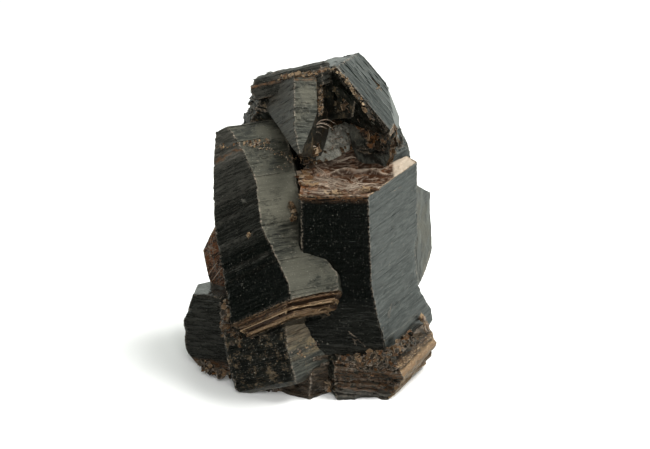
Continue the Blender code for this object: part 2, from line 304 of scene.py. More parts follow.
# An axis is the lean, the spin and the foot that several books share. A cut is a point and a direction.
LEFT_AXIS = ((-15, 37), 50, (-8, -8, 18.9))
UPPER_RIGHT_AXIS = ((-33.4, -96.2), 50, (5.1, 5.3, 53.7))
BACK_CUT = ((0.0, 20.0, 0.0), (0.0, 1.0, 0.05))
LEFT_BACK_CUT = ((0.0, 19.5, 0.0), (-0.1, 1.0, -0.1))
COARSE = Texture(
    leaf=0.6, proud=0.15, ragged=0.35, gap=0.5, gap_share=0.3, sway=0.5, chip=0.8, steps=20,
)
BOOKS = (
    Book(
        "right_book", lean=(0, 0), spin=30, foot=(8, 2, -0.9),
        stations=(
            (2.0, (13.5, 14, 17, 15, 13.5, 12.0)), (8.5, (17.4, 14, 17, 16.2, 15.2, 14.2)),
            (11.5, (16.5, 14, 17, 16.2, 15.4, 14.2)), (14.5, (14.5, 14, 17, 16.2, 15.4, 13.7)),
            (18.0, (12.9, 14, 17, 16.2, 15.4, 12.8)), (25.5, (12.6, 13, 17, 16.2, 15.4, 11.6)),
            (28.5, (13.7, 12, 16, 16.2, 15.4, 11.5)), (45.3, (13.6, 10, 8, 16.2, 15.4, 10.9)),
        ),
        finishes=(SLATE, BLACK, BLACK, BLACK, BLACK, SLATE, FLAKY, FLAKY),
        chips=(((-2.4, -13.0, 30.0), (-1.0, 0.06, 0.0)),),
        texture=Texture(
            leaf=0.5, proud=0.03, ragged=0.02, gap=0.06, gap_share=0.1, sway=0.06, chip=0.35, top=0.2,
            bottom=0.9, dish=3.2, steps=28,
        ),
        paints=(
            Paint(3, 44.6, 46.0, rust=0.9), Paint(4, 44.9, 46.0, rust=0.8),
            # The two dust paints on side 4 make it lighter below 21.5 mm and again below 12 mm.
            Paint(4, 44.0, 44.9, rust=0.25), Paint(4, -1.0, 21.5, dust=0.05),
            Paint(4, -1.0, 12.0, dust=0.06), Paint(5, 12.5, 12.8, dust=0.4),
            Paint(5, 2.0, 4.5, dust=0.3, rust=0.6),
        ),
    ),
    Book(
        "left_book", *LEFT_AXIS,
        stations=(
            (-4.0, (12, 12, 8.8, 9.3, 15.2, 15.0)), (-0.5, (12, 12, 8.2, 9.3, 15.5, 15.7)),
            (5.5, (11, 10, 7.8, 9.3, 14.4, 13.2)), (9.0, (10, 9, 7.5, 9.3, 13.7, 11.5)),
            (12.5, (9.5, 8, 7.2, 9.3, 13.0, 11.1)), (17.0, (9, 7, 6.6, 9.3, 13.7, 12.3)),
            (22.0, (9, 6, 5.4, 9.3, 14.6, 12.9)), (29.5, (9, 4, 3.0, 9.3, 13.3, 13.0)),
            (35.5, (9, 3, 0.9, 8.6, 10.5, 11.5)),
        ),
        finishes=(BLACK, BLACK, BLACK, BLACK, DUSTY, DUSTY, FLAKY, FLAKY),
        texture=Texture(
            leaf=0.45, proud=0.06, ragged=0.05, gap=0.12, gap_share=0.12, sway=0.15, steps=28,
        ),
        paints=(
            # On side 4 the dust paints darken the wall above 22.4 mm, most just above the bend in the
            # face, as painted shade for its darker reflection there; they lighten it from 14 to 22.4 mm
            # and darken it below 6.5 mm.
            Paint(4, 24.0, 40.0, dust=-0.5), Paint(4, 22.4, 24.0, dust=-0.9),
            Paint(4, 14.0, 22.4, dust=0.75), Paint(4, 11.0, 11.25, dust=0.5),
            Paint(4, 6.9, 7.1, dust=0.5), Paint(4, -4.0, 6.5, dust=-0.5),
            # The first three paints on side 3 make it lighter towards the top, in steps at 10, 20.5 and
            # 27.5 mm.
            Paint(3, 27.5, 40.0, dust=0.22), Paint(3, 20.5, 40.0, dust=0.16),
            Paint(3, 10.0, 40.0, dust=0.08), Paint(3, 29.0, 29.35, rust=0.9),
            Paint(3, 22.8, 23.0, dust=0.4), Paint(3, 12.0, 12.2, dust=0.45),
            Paint(3, 6.3, 6.5, dust=0.3), Paint(3, 17.0, 17.2, dust=0.3),
        ),
    ),
    Book(
        "loose_leaves", *LEFT_AXIS,
        stations=(
            (-7.3, (7, 8, 5.6, 6.6, 11.4, 10.6)), (-6.3, (9, 10, 6.8, 7.9, 13.4, 12.8)),
            (-3.9, (10, 11, 8.0, 8.9, 15.0, 14.8)),
        ),
        finishes=same(LEAVES, FLAKY, BLACK),
        texture=Texture(
            leaf=0.24, proud=0.7, ragged=0.12, gap=0.7, gap_share=0.3, top=0.2, bottom=0.3, steps=28,
        ),
    ),
    Book(
        "upper_left_book", lean=(0, 43), spin=33, foot=(-4, -4, 42),
        stations=(
            (4.0, (9, 10, 10.6, 3.6, 9.4, 9.0)), (6.0, (9, 10, 11.6, 4.1, 9.8, 9.3)),
            (10.0, (9, 10.5, 12.0, 4.1, 8.8, 9.3)), (21.5, (9, 10.8, 12.6, 4.1, 8.6, 9.0)),
            (22.3, (8, 10, 12.2, 3.6, 7.6, 9.8)), (25.2, (8, 10, 12.0, 3.4, 7.3, 10.5)),
            (27.4, (7, 9.5, 11.6, 3.2, 4.0, 4.0)),
        ),
        finishes=(BLACK, BLACK, BLACK, BLACK, GREY, BLACK, BLACK, CRUSTED),
        chips=(
            ((-3.3, 4.4, 63.5), (-0.085, 0.41, 0.907)), LEFT_BACK_CUT,
            ((-5.5, -3.0, 53.0), (-0.65, -0.1, -0.75)), ((1.4, -1.0, 57.6), (0.976, -0.325, -0.124)),
            ((1.4, -1.0, 57.6), (0.955, -0.19, 0.227)),
        ),
        paints=(
            Paint(3, 3.0, 28.0, dust=0.45), Paint(4, 20.4, 28.0, dust=0.2, rust=0.5),
            Paint(4, 15.3, 15.5, dust=0.5), Paint(4, 10.0, 10.25, dust=-0.6),
        ),
    ),
    Book(
        "upper_left_cap", lean=(-13, 20), spin=5, foot=(-3.8, 10.0, 61.0),
        stations=(
            (-3.0, (8.0, 6.0, 8.0, 9.2, 3.4, 9.0)), (0.2, (8.0, 6.0, 8.0, 9.0, 3.1, 8.8)),
            (1.2, (7.6, 5.8, 7.6, 8.4, 2.6, 8.6)), (2.1, (7.2, 5.6, 7.0, 7.4, 1.9, 8.3)),
        ),
        finishes=same(BLACK, BLACK),
        chips=(LEFT_BACK_CUT,),
        texture=Texture(
            leaf=0.35, proud=0.25, ragged=0.25, gap=0.5, gap_share=0.2, top=0.7, terrace=0.3, steps=24,
        ),
        paints=(Paint(None, -3.0, 2.5, dust=0.22), Paint(None, -0.2, 0.15, rust=0.9, dust=0.2)),
    ),
    Book(
        "upper_left_end", lean=(12, 12), spin=15, foot=(-9.5, 10.5, 38),
        stations=(
            (0.0, (7, 6, 7, 8, 7, 7)), (15.0, (5, 5, 6.6, 6.8, 6.5, 6)), (22.5, (4, 4, 5, 4.6, 5, 5)),
        ),
        finishes=(BLACK, BLACK, BLACK, CRUSTED, CRUSTED, CRUSTED, CRUSTED, CRUSTED),
        texture=COARSE,
    ),
    Book(
        "upper_right_face", *UPPER_RIGHT_AXIS,
        stations=(
            (-14.0, (5.0, 9.5, 9, 12, 0.5, 4.0)), (-6.0, (7.0, 10.5, 9, 12, 0.3, 4.2)),
            (0.0, (9.0, 11.0, 9, 12, 0.1, 4.0)),
        ),
        finishes=same(SLATE, CRUSTED),
        chips=(BACK_CUT,),
        texture=Texture(top=0.15),
    ),
    Book(
        "upper_right_side", *UPPER_RIGHT_AXIS,
        stations=(
            (-14.0, (5.0, 9.5, 5.2, 1.5, 6.0, 11.0)), (-6.0, (7.6, 10.5, 4.6, -3.6, 5.4, 12.0)),
            (-4.6, (9.2, 11.2, 4.2, -5.6, 5.3, 12.4)), (0.1, (9.5, 11.2, 3.0, -8.6, 5.0, 13.0)),
        ),
        finishes=(SLATE, SLATE, SLATE, FLAKY, FLAKY, FLAKY, BLACK, SLATE),
        chips=(((17.4, 10.0, 54.0), (0.93, 0.0, 0.37)), BACK_CUT,),
        texture=Texture(leaf=0.45, proud=0.05, ragged=0.08, gap=0.16, gap_share=0.1, top=0.3, steps=22),
    ),
    Book(
        "upper_right_core", *UPPER_RIGHT_AXIS,
        stations=(
            (-14.0, (4.0, 9.0, 9.0, 12, 14, 10.5)), (-10.0, (6.0, 9.5, 9.0, 12, 14, 11.5)),
            (-9.9, (6.5, 3.0, -4.2, 6, 13, 12.0)), (-2.6, (7.4, 3.0, -4.2, 6, 13, 12.0)),
        ),
        finishes=same(FLAKY, GREY, SLATE),
        chips=(((16.4, 10.0, 54.0), (0.93, 0.0, 0.37)), BACK_CUT,),
        texture=Texture(top=3.0, terrace=0.35),
    ),
    Book(
        "upper_right_step", *UPPER_RIGHT_AXIS,
        stations=(
            (-12.0, (5.0, 4.0, -1.6, -2.8, 4.5, 10.0)), (-0.8, (7.0, 4.4, -2.0, -3.4, 3.4, 10.4)),
        ),
        finishes=same(CRUSTED, GREY, SLATE),
        chips=(((16.0, 10.0, 54.0), (0.93, 0.0, 0.37)), BACK_CUT,),
        texture=Texture(gap=0.6, gap_share=0.3, ragged=0.3, top=2.0, terrace=0.45, steps=20),
    ),
    Book(
        "lower_front_book", lean=(-17.5, 16), spin=5, foot=(-4, -8, 4),
        stations=(
            (-3.0, (11.5, 8, 10, 10.5, 8.0, 7.5)), (-1.2, (13.5, 10, 12, 13.0, 10.0, 9.6)),
            (4.0, (13.5, 10, 12, 12.8, 10.0, 9.8)), (12.0, (13.0, 10, 12, 11.5, 9.0, 10.6)),
        ),
        finishes=(GREY, BLACK, BLACK, CRUSTED, CRUSTED, PATINA, FLAKY, CRUST),
        paints=(
            Paint(5, 6.0, 12.0, dust=0.45, rust=0.15), Paint(5, 4.0, 6.0, dust=0.1),
            Paint(5, 2.6, 3.0, dust=0.9), Paint(5, 4.6, 5.0, dust=0.9),
        ),
    ),
    Book(
        "lower_left_book", lean=(-8, 8), spin=-5, foot=(-16, 2, 0),
        stations=(
            (-1.0, (9, 12, 8.5, 7.5, 8, 8)), (4.0, (10, 12, 11.0, 10.0, 9, 9)),
            (11.0, (9, 11, 9.5, 9.4, 9, 9)), (17.0, (7, 9, 5.5, 6.5, 7, 7)),
        ),
        finishes=same(BLACK, BLACK),
        texture=Texture(leaf=0.6, proud=0.02, ragged=0.04, gap=0.08, sway=0.9, chip=1.0, steps=16),
        paints=(Paint(None, -1.0, 17.0, dust=0.12), Paint(None, -1.0, 2.0, dust=0.1, rust=0.5)),
    ),
    Book(
        "left_plate", lean=(-48, -70), spin=20, foot=(-16, 6, 24),
        stations=((-9.0, (9, 9.0, 6.8, 9, 9, 9)), (2.0, (9, 9.5, 6.5, 9, 9, 9)),),
        finishes=same(GLASSY, GLASSY),
    ),
    Book(
        "right_plate", lean=(70, -90), spin=0, foot=(15.2, 10.6, 28.6),
        stations=((-6.0, (10, 8, 8, 8, 11, 13.5)), (8.0, (11.5, 8, 8, 8, 12, 14.8)),),
        finishes=same(CRUSTED, GREY, SLATE),
        chips=(((0.0, 20.5, 0.0), (0.0, 1.0, 0.1)),),
    ),
    Book(
        "lower_right_book", lean=(6, -8), spin=30, foot=(9.4, -3, 0),
        stations=(
            (-2.0, (11, 14, 14, 9, 12.5, 10.0)), (0.0, (12, 14, 14, 10, 14.2, 11.5)),
            (3.0, (13.6, 14, 14, 11, 13.8, 13.0)), (7.5, (15.3, 14, 14, 11, 12.6, 14.3)),
            (10.0, (14.8, 12, 12, 10, 11.0, 12.6)),
        ),
        finishes=(LEAVES, GREY, CRUST, CRUSTED, BLACK, LEAVES, CRUST, CRUST),
        texture=Texture(
            leaf=0.5, proud=0.3, ragged=0.4, gap=0.9, gap_share=0.3, chip=1.2, top=1.2, terrace=0.4,
            steps=22,
        ),
        paints=(
            Paint(4, 3.9, 4.4, dust=0.6, rust=0.5), Paint(4, 4.4, 10.0, rust=0.2, dust=0.1),
            Paint(4, -2.0, 3.9, dust=0.45), Paint(5, 0.5, 9.0, dust=0.25),
            Paint(0, -2.0, 10.0, dust=0.3),
        ),
    ),
    Book(
        "rear_left_book", lean=(-4, 2), spin=40, foot=(-9.5, 8, 0),
        stations=(
            (-2.0, (9, 11, 10, 8, 9, 9)), (14.0, (9, 11.5, 9, 8, 10, 10)),
            (30.0, (10, 10, 8, 7, 9, 10)), (46.0, (9, 8, 7, 6, 8, 9)),
        ),
        finishes=(BLACK, SLATE, BLACK, BLACK, BLACK, BLACK, FLAKY, FLAKY),
    ),
    Book(
        "rear_middle_book", lean=(3, -4), spin=0, foot=(4, 9.5, 0),
        stations=(
            (-2.0, (10, 10, 10, 10, 10, 10)), (12.0, (11, 11.5, 10, 10, 10, 10)),
            (26.0, (10, 11, 11, 10, 10, 10)), (52.0, (8, 8, 8, 8, 6, 6)),
        ),
        finishes=(BLACK, SLATE, DUSTY, BLACK, BLACK, BLACK, FLAKY, FLAKY),
        chips=(((4.5, 8.9, 45.5), (0.54, -0.54, 0.64)),),
    ),
    Book(
        "upper_back_book", lean=(-18, 4), spin=20, foot=(10, 8.5, 28),
        stations=(
            (0.0, (11, 7, 10, 8, 7, 9)), (13.0, (14.6, 8, 11, 9, 8, 12.5)),
            (25.0, (13.6, 7, 10, 8, 7, 11.5)),
        ),
        finishes=same(SLATE, BLACK),
        chips=(((8.6, 13.5, 46.5), (-0.5, -0.6, 0.62)),),
    ),
    Book(
        "rear_end_book", lean=(12, 48), spin=20, foot=(1, 8.5, 25),
        stations=((-2.0, (8, 8, 8, 8, 8, 8)), (12.0, (8, 7.5, 8, 8, 7.5, 7.5)),),
        finishes=same(DUSTY),
        chips=(((0.0, 21.0, 0.0), (0.1, 1.0, 0.2)),),
    ),
    Book(
        "rear_right_book", lean=(10, 14), spin=45, foot=(10, 6, 0),
        stations=(
            (-4.0, (11, 10, 10, 10, 10, 9)), (10.0, (10, 9.5, 10, 10, 10, 9)),
            (22.0, (8, 8, 9, 9, 9, 8)),
        ),
        finishes=same(SLATE),
    ),
    Book(
        "foot_front", lean=(4, 3), spin=5, foot=(-4, -1, 0),
        stations=(
            (-2.0, (16, 14, 14, 12, 12.5, 15)), (4.0, (18, 15, 16, 13, 13.5, 16)),
            (9.0, (17, 15, 16, 12, 12.0, 15)),
        ),
        finishes=same(CRUST, CRUST, CRUST),
        texture=COARSE,
    ),
    Book(
        "foot_back", lean=(-6, 6), spin=25, foot=(-2, 4, 0),
        stations=(
            (-2.0, (16, 12, 15, 13, 12, 15)), (5.0, (17, 12.5, 16, 14, 13, 16)),
            (15.0, (15, 10, 13, 12, 11, 14)),
        ),
        finishes=same(CRUST, CRUST, CRUST),
        texture=COARSE,
    ),
    Book(
        "middle_book", lean=(32.7, -40.2), spin=57, foot=(4.5, 8.9, 46.3),
        stations=((-6.0, (8.4, 4.8, 4.1, 7.2, 3.6, 5.3)), (0.0, (7.9, 4.3, 3.6, 6.7, 3.3, 4.8)),),
        finishes=same(SPECKLED, SPECKLED),
        texture=Texture(top=0.9, terrace=0.8),
    ),
    Book(
        "broken_block", lean=(0, 6), spin=30, foot=(14.2, 8.5, 45.5),
        stations=(
            (0.0, (5.4, 3, 5, 5, 4.5, 5.6)), (5.0, (4.0, 3, 4, 4, 3.6, 4.0)),
            (9.0, (2.4, 3, 3, 3, 2.6, 2.6)),
        ),
        finishes=(SLATE, BLACK, BLACK, CRUSTED, CRUSTED, SLATE, CRUSTED, CRUSTED),
        texture=Texture(
            leaf=0.5, proud=0.3, ragged=0.3, gap=0.7, gap_share=0.3, top=1.5, terrace=0.35, steps=18,
        ),
    ),
    Book(
        "pocket_back", lean=(0, 0), spin=30, foot=(5.0, 17.2, 44.0),
        stations=(
            (0.0, (4.0, 2.5, 4.5, 4.5, 2, 4.0)), (6.5, (4.0, 2.5, 4.5, 4.5, 2, 4.0)),
            (10.5, (3.5, 2.2, 3.8, 3.8, -0.5, 3.5)),
        ),
        finishes=same(CRUSTED, CRUSTED),
        texture=Texture(top=0.8, terrace=0.4),
    ),
)


class BookMesh:
    """Builds the mesh of one book, sheet by sheet."""

    CAP_RINGS = 16
    CORNER_PULL = 0.6  # how much closer the columns stand near a corner
    GROOVE = 0.03
    TERRACES = 7.0
    RISER = 0.18  # share of a terrace's width that slopes up to the next one
    SHEETS = (0.4, 0.7, 0.9, 1.2, 1.8)  # thicknesses, as shares of the mean
    STANDS_OUT = (0.0, 0.2, 0.3, -0.1, 0.1, -0.4, 0.0, 0.1, -2.4)  # shares of the most

    def __init__(self, book: Book, finishes: dict[Finish, Material]) -> None:
        """Keep the book and draw the sheets' heights and places.

        Args:
            book: its sizes.
            finishes: the cluster's materials.
        """
        self.book = book
        self.finishes = finishes
        self.slots = list(dict.fromkeys(book.finishes))
        self.chance = random.Random(f"{SEED} {book.name}")
        self.shift = scatter(self.chance, -50.0, 50.0)
        self.columns = SIDES * book.texture.steps
        self.rows = self._rows()
        self.outlines = [self._corners(row[0], row[3]) for row in self.rows]

    def _rows(self) -> list[tuple[float, int, float, tuple[float, ...]]]:
        """Rows of the mesh from the middle of the bottom to the middle of the top.

        Returns:
            For each row its height, the number of its sheet, the share of the outline's size
            that it has (1 on the walls), and how far the sheet's six sides stand out.
        """
        texture = self.book.texture
        bottom, top = self.book.stations[0][0], self.book.stations[-1][0]
        edges = [bottom]
        while edges[-1] < top - texture.leaf * 0.6:
            edges.append(edges[-1] + texture.leaf * self.chance.choice(self.SHEETS))
        edges[-1] = top
        flat = (0.0,) * SIDES
        rows = [(bottom, -1, number / self.CAP_RINGS, flat) for number in range(self.CAP_RINGS)]
        for leaf, (low, high) in enumerate(zip(edges, edges[1:])):
            proud = tuple(texture.proud * self.chance.choice(self.STANDS_OUT) for _ in range(SIDES))
            rows += [(low + self.GROOVE, leaf, 1.0, proud), (high - self.GROOVE, leaf, 1.0, proud)]
        last = len(edges)
        if texture.dish:
            rows += [(top, last, 0.985, flat), (top - texture.dish, last, 0.975, flat)]
        rows += [
            (top - texture.dish, last, 1 - number / self.CAP_RINGS, flat)
            for number in range(1, self.CAP_RINGS + 1)
        ]
        return rows

    def _corners(self, height: float, proud: Sequence[float]) -> list[Vector]:
        """Corners of the outline at a height, in the book's own frame.

        Args:
            height: along the book's axis.
            proud: how far each side stands out there.

        Returns:
            One corner after each side.
        """
        sides = [near + out for near, out in zip(self.book.distances(height), proud)]
        corners = []
        for side in range(SIDES):
            first, second = math.tau * side / SIDES, math.tau * (side + 1) / SIDES
            a, b = sides[side], sides[(side + 1) % SIDES]
            det = math.sin(second - first)
            corners.append(Vector((
                (a * math.sin(second) - b * math.sin(first)) / det,
                (b * math.cos(first) - a * math.cos(second)) / det,
                height,
            )))
        return corners

    def _terrace(self, x: float, y: float, depth: float, layer: float) -> float:
        """Depth of the terraces of an end below its full height.

        Args:
            x: of the place, in the book's own frame.
            y: of the place.
            depth: the most.
            layer: of the noise that shapes this end.

        Returns:
            The depth at that place.
        """
        place = Vector((x, y * 0.55, layer)) * self.book.texture.terrace + self.shift
        wide = noise.noise(place) * 0.5 + 0.5 + 0.22 * noise.noise(place * 2.7)
        stepped = wide * self.TERRACES
        tread = math.floor(stepped)
        rise = clamp((stepped - tread - (1.0 - self.RISER)) / self.RISER)
        return depth * (tread + rise) / self.TERRACES

    def _recess(self, place: Vector, leaf: int, reach: float) -> float:
        """How far the wall lies inside its plain outline at a place.

        Args:
            place: on the plain outline, in the book's own frame.
            leaf: number of the sheet.
            reach: distance to the nearest corner of the outline.

        Returns:
            The distance inwards.
        """
        texture = self.book.texture
        near = place + self.shift
        sway = texture.sway * (0.5 + noise.noise(near * 0.13))
        ragged = texture.ragged * (0.5 + wander(near.x * 1.1, near.y * 1.1, leaf * 3.7))
        broken = wander(near.x * 0.16, near.y * 0.16, (leaf // 2) * 5.3)
        broken += 0.35 * wander(near.x * 0.9, near.y * 0.9, leaf * 2.1)
        gap = texture.gap * clamp((broken - 0.42 + texture.gap_share) / 0.06)
        chipped = noise.noise(near * 0.7 + Vector((9.0, 3.0, 1.0)))
        chip = texture.chip * max(0.0, chipped) * bell(reach, 0.9)
        return max(0.0, sway + ragged + gap + chip)

    def _place(self, row: int, column: int) -> tuple[Vector, float]:
        """Place of a point of the mesh, and its edge mask.

        Args:
            row: number of its row.
            column: number of its column.

        Returns:
            The place in the book's own frame, and the mask.
        """
        height, leaf, size, proud = self.rows[row]
        corners = self.outlines[row]
        side, step = divmod(column % self.columns, self.book.texture.steps)
        share = step / self.book.texture.steps
        share -= self.CORNER_PULL * math.sin(math.tau * share) / math.tau
        low, high = corners[side - 1], corners[side]
        place = low.lerp(high, share)
        reach = (high - low).length * min(share, 1.0 - share)
        inward = self._recess(place, leaf, reach)
        factor = size * max(0.05, 1.0 - inward / max(math.hypot(place.x, place.y), 0.5))
        place.x *= factor
        place.y *= factor
        texture = self.book.texture
        bottom, top = self.book.stations[0][0], self.book.stations[-1][0]
        ceiling = top - self._terrace(place.x, place.y, texture.top, 0.0)
        floor = bottom + self._terrace(place.x, place.y, texture.bottom, 30.0)
        place.z = min(max(place.z, floor), ceiling)
        edge = bell(reach, 0.22) if size >= 1.0 else 0.0
        if 0 < row < len(self.rows) - 1 and size >= 1.0:
            ledge = max(proud[side] - self.rows[other][3][side] for other in (row - 1, row + 1))
            edge = max(edge, min(0.6, max(0.0, ledge - 0.12) / 0.3))
        if size > 0.93:
            edge = max(edge, 0.8 * bell(min(abs(height - ceiling), abs(height - floor)), 0.2))
        return place, edge

    def _masks(self, side: int, place: Vector) -> tuple[float, float]:
        """Dust and rust painted on a side at a place; the dust part also carries painted shade where a
        book's paints put it there.

        Args:
            side: number of the side.
            place: in the book's own frame.

        Returns:
            The dust and the rust.
        """
        dust = rust = 0.0
        height = place.z + 0.35 * wander(place.x * 0.8, place.y * 0.8, side * 7.0)
        for paint in self.book.paints:
            if paint.side is None or paint.side == side:
                weight = clamp(0.5 + min(height - paint.low, paint.high - height) / 0.5)
                dust += paint.dust * weight
                rust += paint.rust * weight
        return dust, rust

    def _finish(self, row: int, column: int) -> Finish:
        """Finish of the face that starts at a row and a column.

        Args:
            row: number of the row.
            column: number of the column.

        Returns:
            The finish of its side or its end.
        """
        if self.rows[row][1] < 0:
            return self.book.finishes[SIDES + 1]
        if self.rows[row + 1][2] < 1.0:
            return self.book.finishes[SIDES]
        return self.book.finishes[(column % self.columns) // self.book.texture.steps]

    def build(self) -> Object:
        """Build the book.

        Returns:
            An object at the origin, with the book in its mesh.
        """
        last = len(self.rows) - 1
        bm = bmesh.new()
        layers = add_layers(bm)
        bmesh.ops.create_grid(bm, x_segments=self.columns, y_segments=last, size=1.0)
        cells = {
            vert: (round((vert.co.y + 1.0) / 2.0 * last), round((vert.co.x + 1.0) / 2.0 * self.columns))
            for vert in bm.verts
        }
        for face in bm.faces:
            rows, columns = zip(*(cells[vert] for vert in face.verts))
            face.material_index = self.slots.index(self._finish(min(rows), min(columns)))
            face.smooth = False
        for vert, (row, column) in cells.items():
            vert.co, vert[layers["edge"]] = self._place(row, column)
            vert[layers["crystal"]] = vert.co
            vert[layers["leaf"]] = sheet_tone(self.rows[row][1])
            side = (column % self.columns) // self.book.texture.steps
            vert[layers["dust"]], vert[layers["rust"]] = self._masks(side, vert.co)
        bmesh.ops.remove_doubles(bm, verts=bm.verts[:], dist=0.002)
        bmesh.ops.dissolve_degenerate(bm, dist=0.0005, edges=bm.edges[:])
        bmesh.ops.recalc_face_normals(bm, faces=bm.faces[:])
        bm.transform(self.book.matrix() @ Matrix.Scale(MM, 4))
        broken = self.slots.index(self.book.finishes[-1])
        for point, direction in self.book.chips:
            break_off(bm, (Vector(point) - Vector(MIDDLE)) * MM, Vector(direction), broken)
        cut_foot(bm)
        return make_piece(self.book.name, bm, [self.finishes[finish] for finish in self.slots])


class Graph:
    """Adds nodes to a shader tree in short calls."""

    def __init__(self, tree: ShaderNodeTree) -> None:
        """Keep the tree."""
        self.tree = tree

    def feed(self, socket: NodeSocket, value: Value) -> None:
        """Link a socket to another one, or set its plain value.

        Args:
            socket: the input.
            value: an output socket, or a number, vector or colour.
        """
        if isinstance(value, NodeSocket):
            self.tree.links.new(value, socket)
        else:
            socket.default_value = value

    def node(self, kind: str, inputs: dict[int | str, Value] | None = None, **settings: object) -> Node:
        """Add a node, set its properties and feed its inputs.

        Args:
            kind: the end of its type's name.
            inputs: values of its inputs, by name or number.
            settings: values of its properties.

        Returns:
            The node.
        """
        made = self.tree.nodes.new(f"ShaderNode{kind}")
        for name, setting in settings.items():
            setattr(made, name, setting)
        for key, value in (inputs or {}).items():
            self.feed(made.inputs[key], value)
        return made

    def math(self, operation: str, *values: Value, clamp: bool = False) -> NodeSocket:
        """One Math node."""
        return self.node("Math", dict(enumerate(values)), operation=operation, use_clamp=clamp).outputs[0]

    def vector(self, operation: str, *values: Value) -> NodeSocket:
        """One Vector Math node."""
        return self.node("VectorMath", dict(enumerate(values)), operation=operation).outputs[0]

    def noise(self, place: Value, scale: Value, detail: float = 3.0, rough: float = 0.55,
              warp: float = 0.0) -> NodeSocket:
        """Noise at a place."""
        return self.node("TexNoise", {"Vector": place, "Scale": scale, "Detail": detail,
                                      "Roughness": rough, "Distortion": warp}).outputs["Fac"]

    def stretch(self, place: Value, factors: Triple, shift: Triple = (0, 0, 0)) -> NodeSocket:
        """A place with each axis stretched."""
        return self.vector("MULTIPLY_ADD", place, factors, shift)

    def ramp(self, value: Value, low: Value, high: Value) -> NodeSocket:
        """A smooth step from 0 at low to 1 at high."""
        return self.node("MapRange", {"Value": value, "From Min": low, "From Max": high},
                         interpolation_type="SMOOTHSTEP").outputs["Result"]

    def mix(self, share: Value, first: Value, second: Value) -> NodeSocket:
        """A mix of two colours."""
        return self.node("Mix", {0: share, 6: first, 7: second}, data_type="RGBA").outputs[2]

    def mask(self, name: str) -> NodeSocket:
        """One of the piece's masks."""
        return self.node("Attribute", attribute_name=name).outputs["Fac"]

    def own_place(self) -> NodeSocket:
        """The crystal's own coordinates, in millimetres."""
        return self.node("Attribute", attribute_name="crystal").outputs["Vector"]

    def group(self, tree: ShaderNodeTree, **values: Value) -> Node:
        """A node group with its inputs fed."""
        return self.node("Group", values, node_tree=tree)


def new_group(name: str, inputs: dict[str, float], outputs: Iterable[str]) -> tuple[
    ShaderNodeTree, Graph, Node, Node
]:
    """Start a node group whose sockets are all plain numbers.

    Args:
        name: of the group.
        inputs: names and default values of its inputs.
        outputs: names of its outputs.

    Returns:
        The tree, its graph, and its input and output nodes.
    """
    tree = bpy.data.node_groups.new(name, "ShaderNodeTree")
    for title, value in inputs.items():
        socket = tree.interface.new_socket(title, in_out="INPUT", socket_type="NodeSocketFloat")
        socket.default_value = value
    for title in outputs:
        tree.interface.new_socket(title, in_out="OUTPUT", socket_type="NodeSocketFloat")
    return tree, Graph(tree), tree.nodes.new("NodeGroupInput"), tree.nodes.new("NodeGroupOutput")


class Effects:
    """The node groups that several finishes share."""

    def __init__(self) -> None:
        """Build each group once."""
        self.lines = self._lines()
        self.wear = self._wear()
        self.patches = self._patches()

    @staticmethod
    def _lines() -> ShaderNodeTree:
        """Fine lines along the sheets' edges.

        Returns:
            The group.
        """
        tree, graph, _, made = new_group("sheet lines", {}, ("Broad", "Fine", "Dash", "Height"))
        place = graph.own_place()
        broad = graph.noise(graph.stretch(place, (0.12, 0.12, 0.6)), 1.0, 3.0)
        fine = graph.noise(graph.stretch(place, (0.22, 0.22, 2.2)), 1.0, 4.0, 0.65)
        hair = graph.noise(graph.stretch(place, (0.6, 0.6, 6.5)), 1.0, 3.0, 0.65)
        dash = graph.noise(graph.stretch(place, (0.9, 0.9, 7.0), (5, 1, 9)), 1.0, 2.0, 0.5)
        small = graph.math("MULTIPLY_ADD", fine, 0.45, graph.math("MULTIPLY", hair, 0.2))
        graph.feed(made.inputs["Broad"], broad)
        graph.feed(made.inputs["Fine"], graph.math(
            "MULTIPLY_ADD", fine, 0.6, graph.math("MULTIPLY", hair, 0.4)))
        graph.feed(made.inputs["Dash"], graph.ramp(dash, 0.66, 0.74))
        graph.feed(made.inputs["Height"], graph.math("MULTIPLY_ADD", broad, 0.9, small))
        return tree

    @staticmethod
    def _wear() -> ShaderNodeTree:
        """Bare bright wear along corners and rims.

        Returns:
            The group.
        """
        tree, graph, given, made = new_group("edge wear", {"Amount": 0.5}, ("Mask",))
        grain = graph.noise(graph.own_place(), 2.2, 4.0, 0.7)
        worn = graph.math("MULTIPLY", graph.mask("edge"), graph.ramp(grain, 0.45, 0.66))
        graph.feed(made.inputs["Mask"], graph.math("MULTIPLY", worn, given.outputs["Amount"], clamp=True))
        return tree

    @staticmethod
    def _patches() -> ShaderNodeTree:
        """Patches of an effect over the surface, with a grainy outline.

        Returns:
            The group.
        """
        tree, graph, given, made = new_group(
            "patches", {"Scale": 0.15, "Amount": 0.5, "Grain": 0.3}, ("Mask",)
        )
        place = graph.vector("SCALE", graph.node("TexCoord").outputs["Object"])
        place.node.inputs["Scale"].default_value = 1.0 / MM
        wide = graph.noise(place, given.outputs["Scale"], 4.0, 0.6)
        grain = graph.noise(place, 3.0, 3.0, 0.7)
        value = graph.math("MULTIPLY_ADD", graph.math("SUBTRACT", grain, 0.5),
        given.outputs["Grain"], wide)
        low = graph.math("SUBTRACT", 0.72, graph.math("MULTIPLY", given.outputs["Amount"], 0.45))
        graph.feed(made.inputs["Mask"], graph.ramp(value, low, graph.math("ADD", low, 0.12)))
        return tree


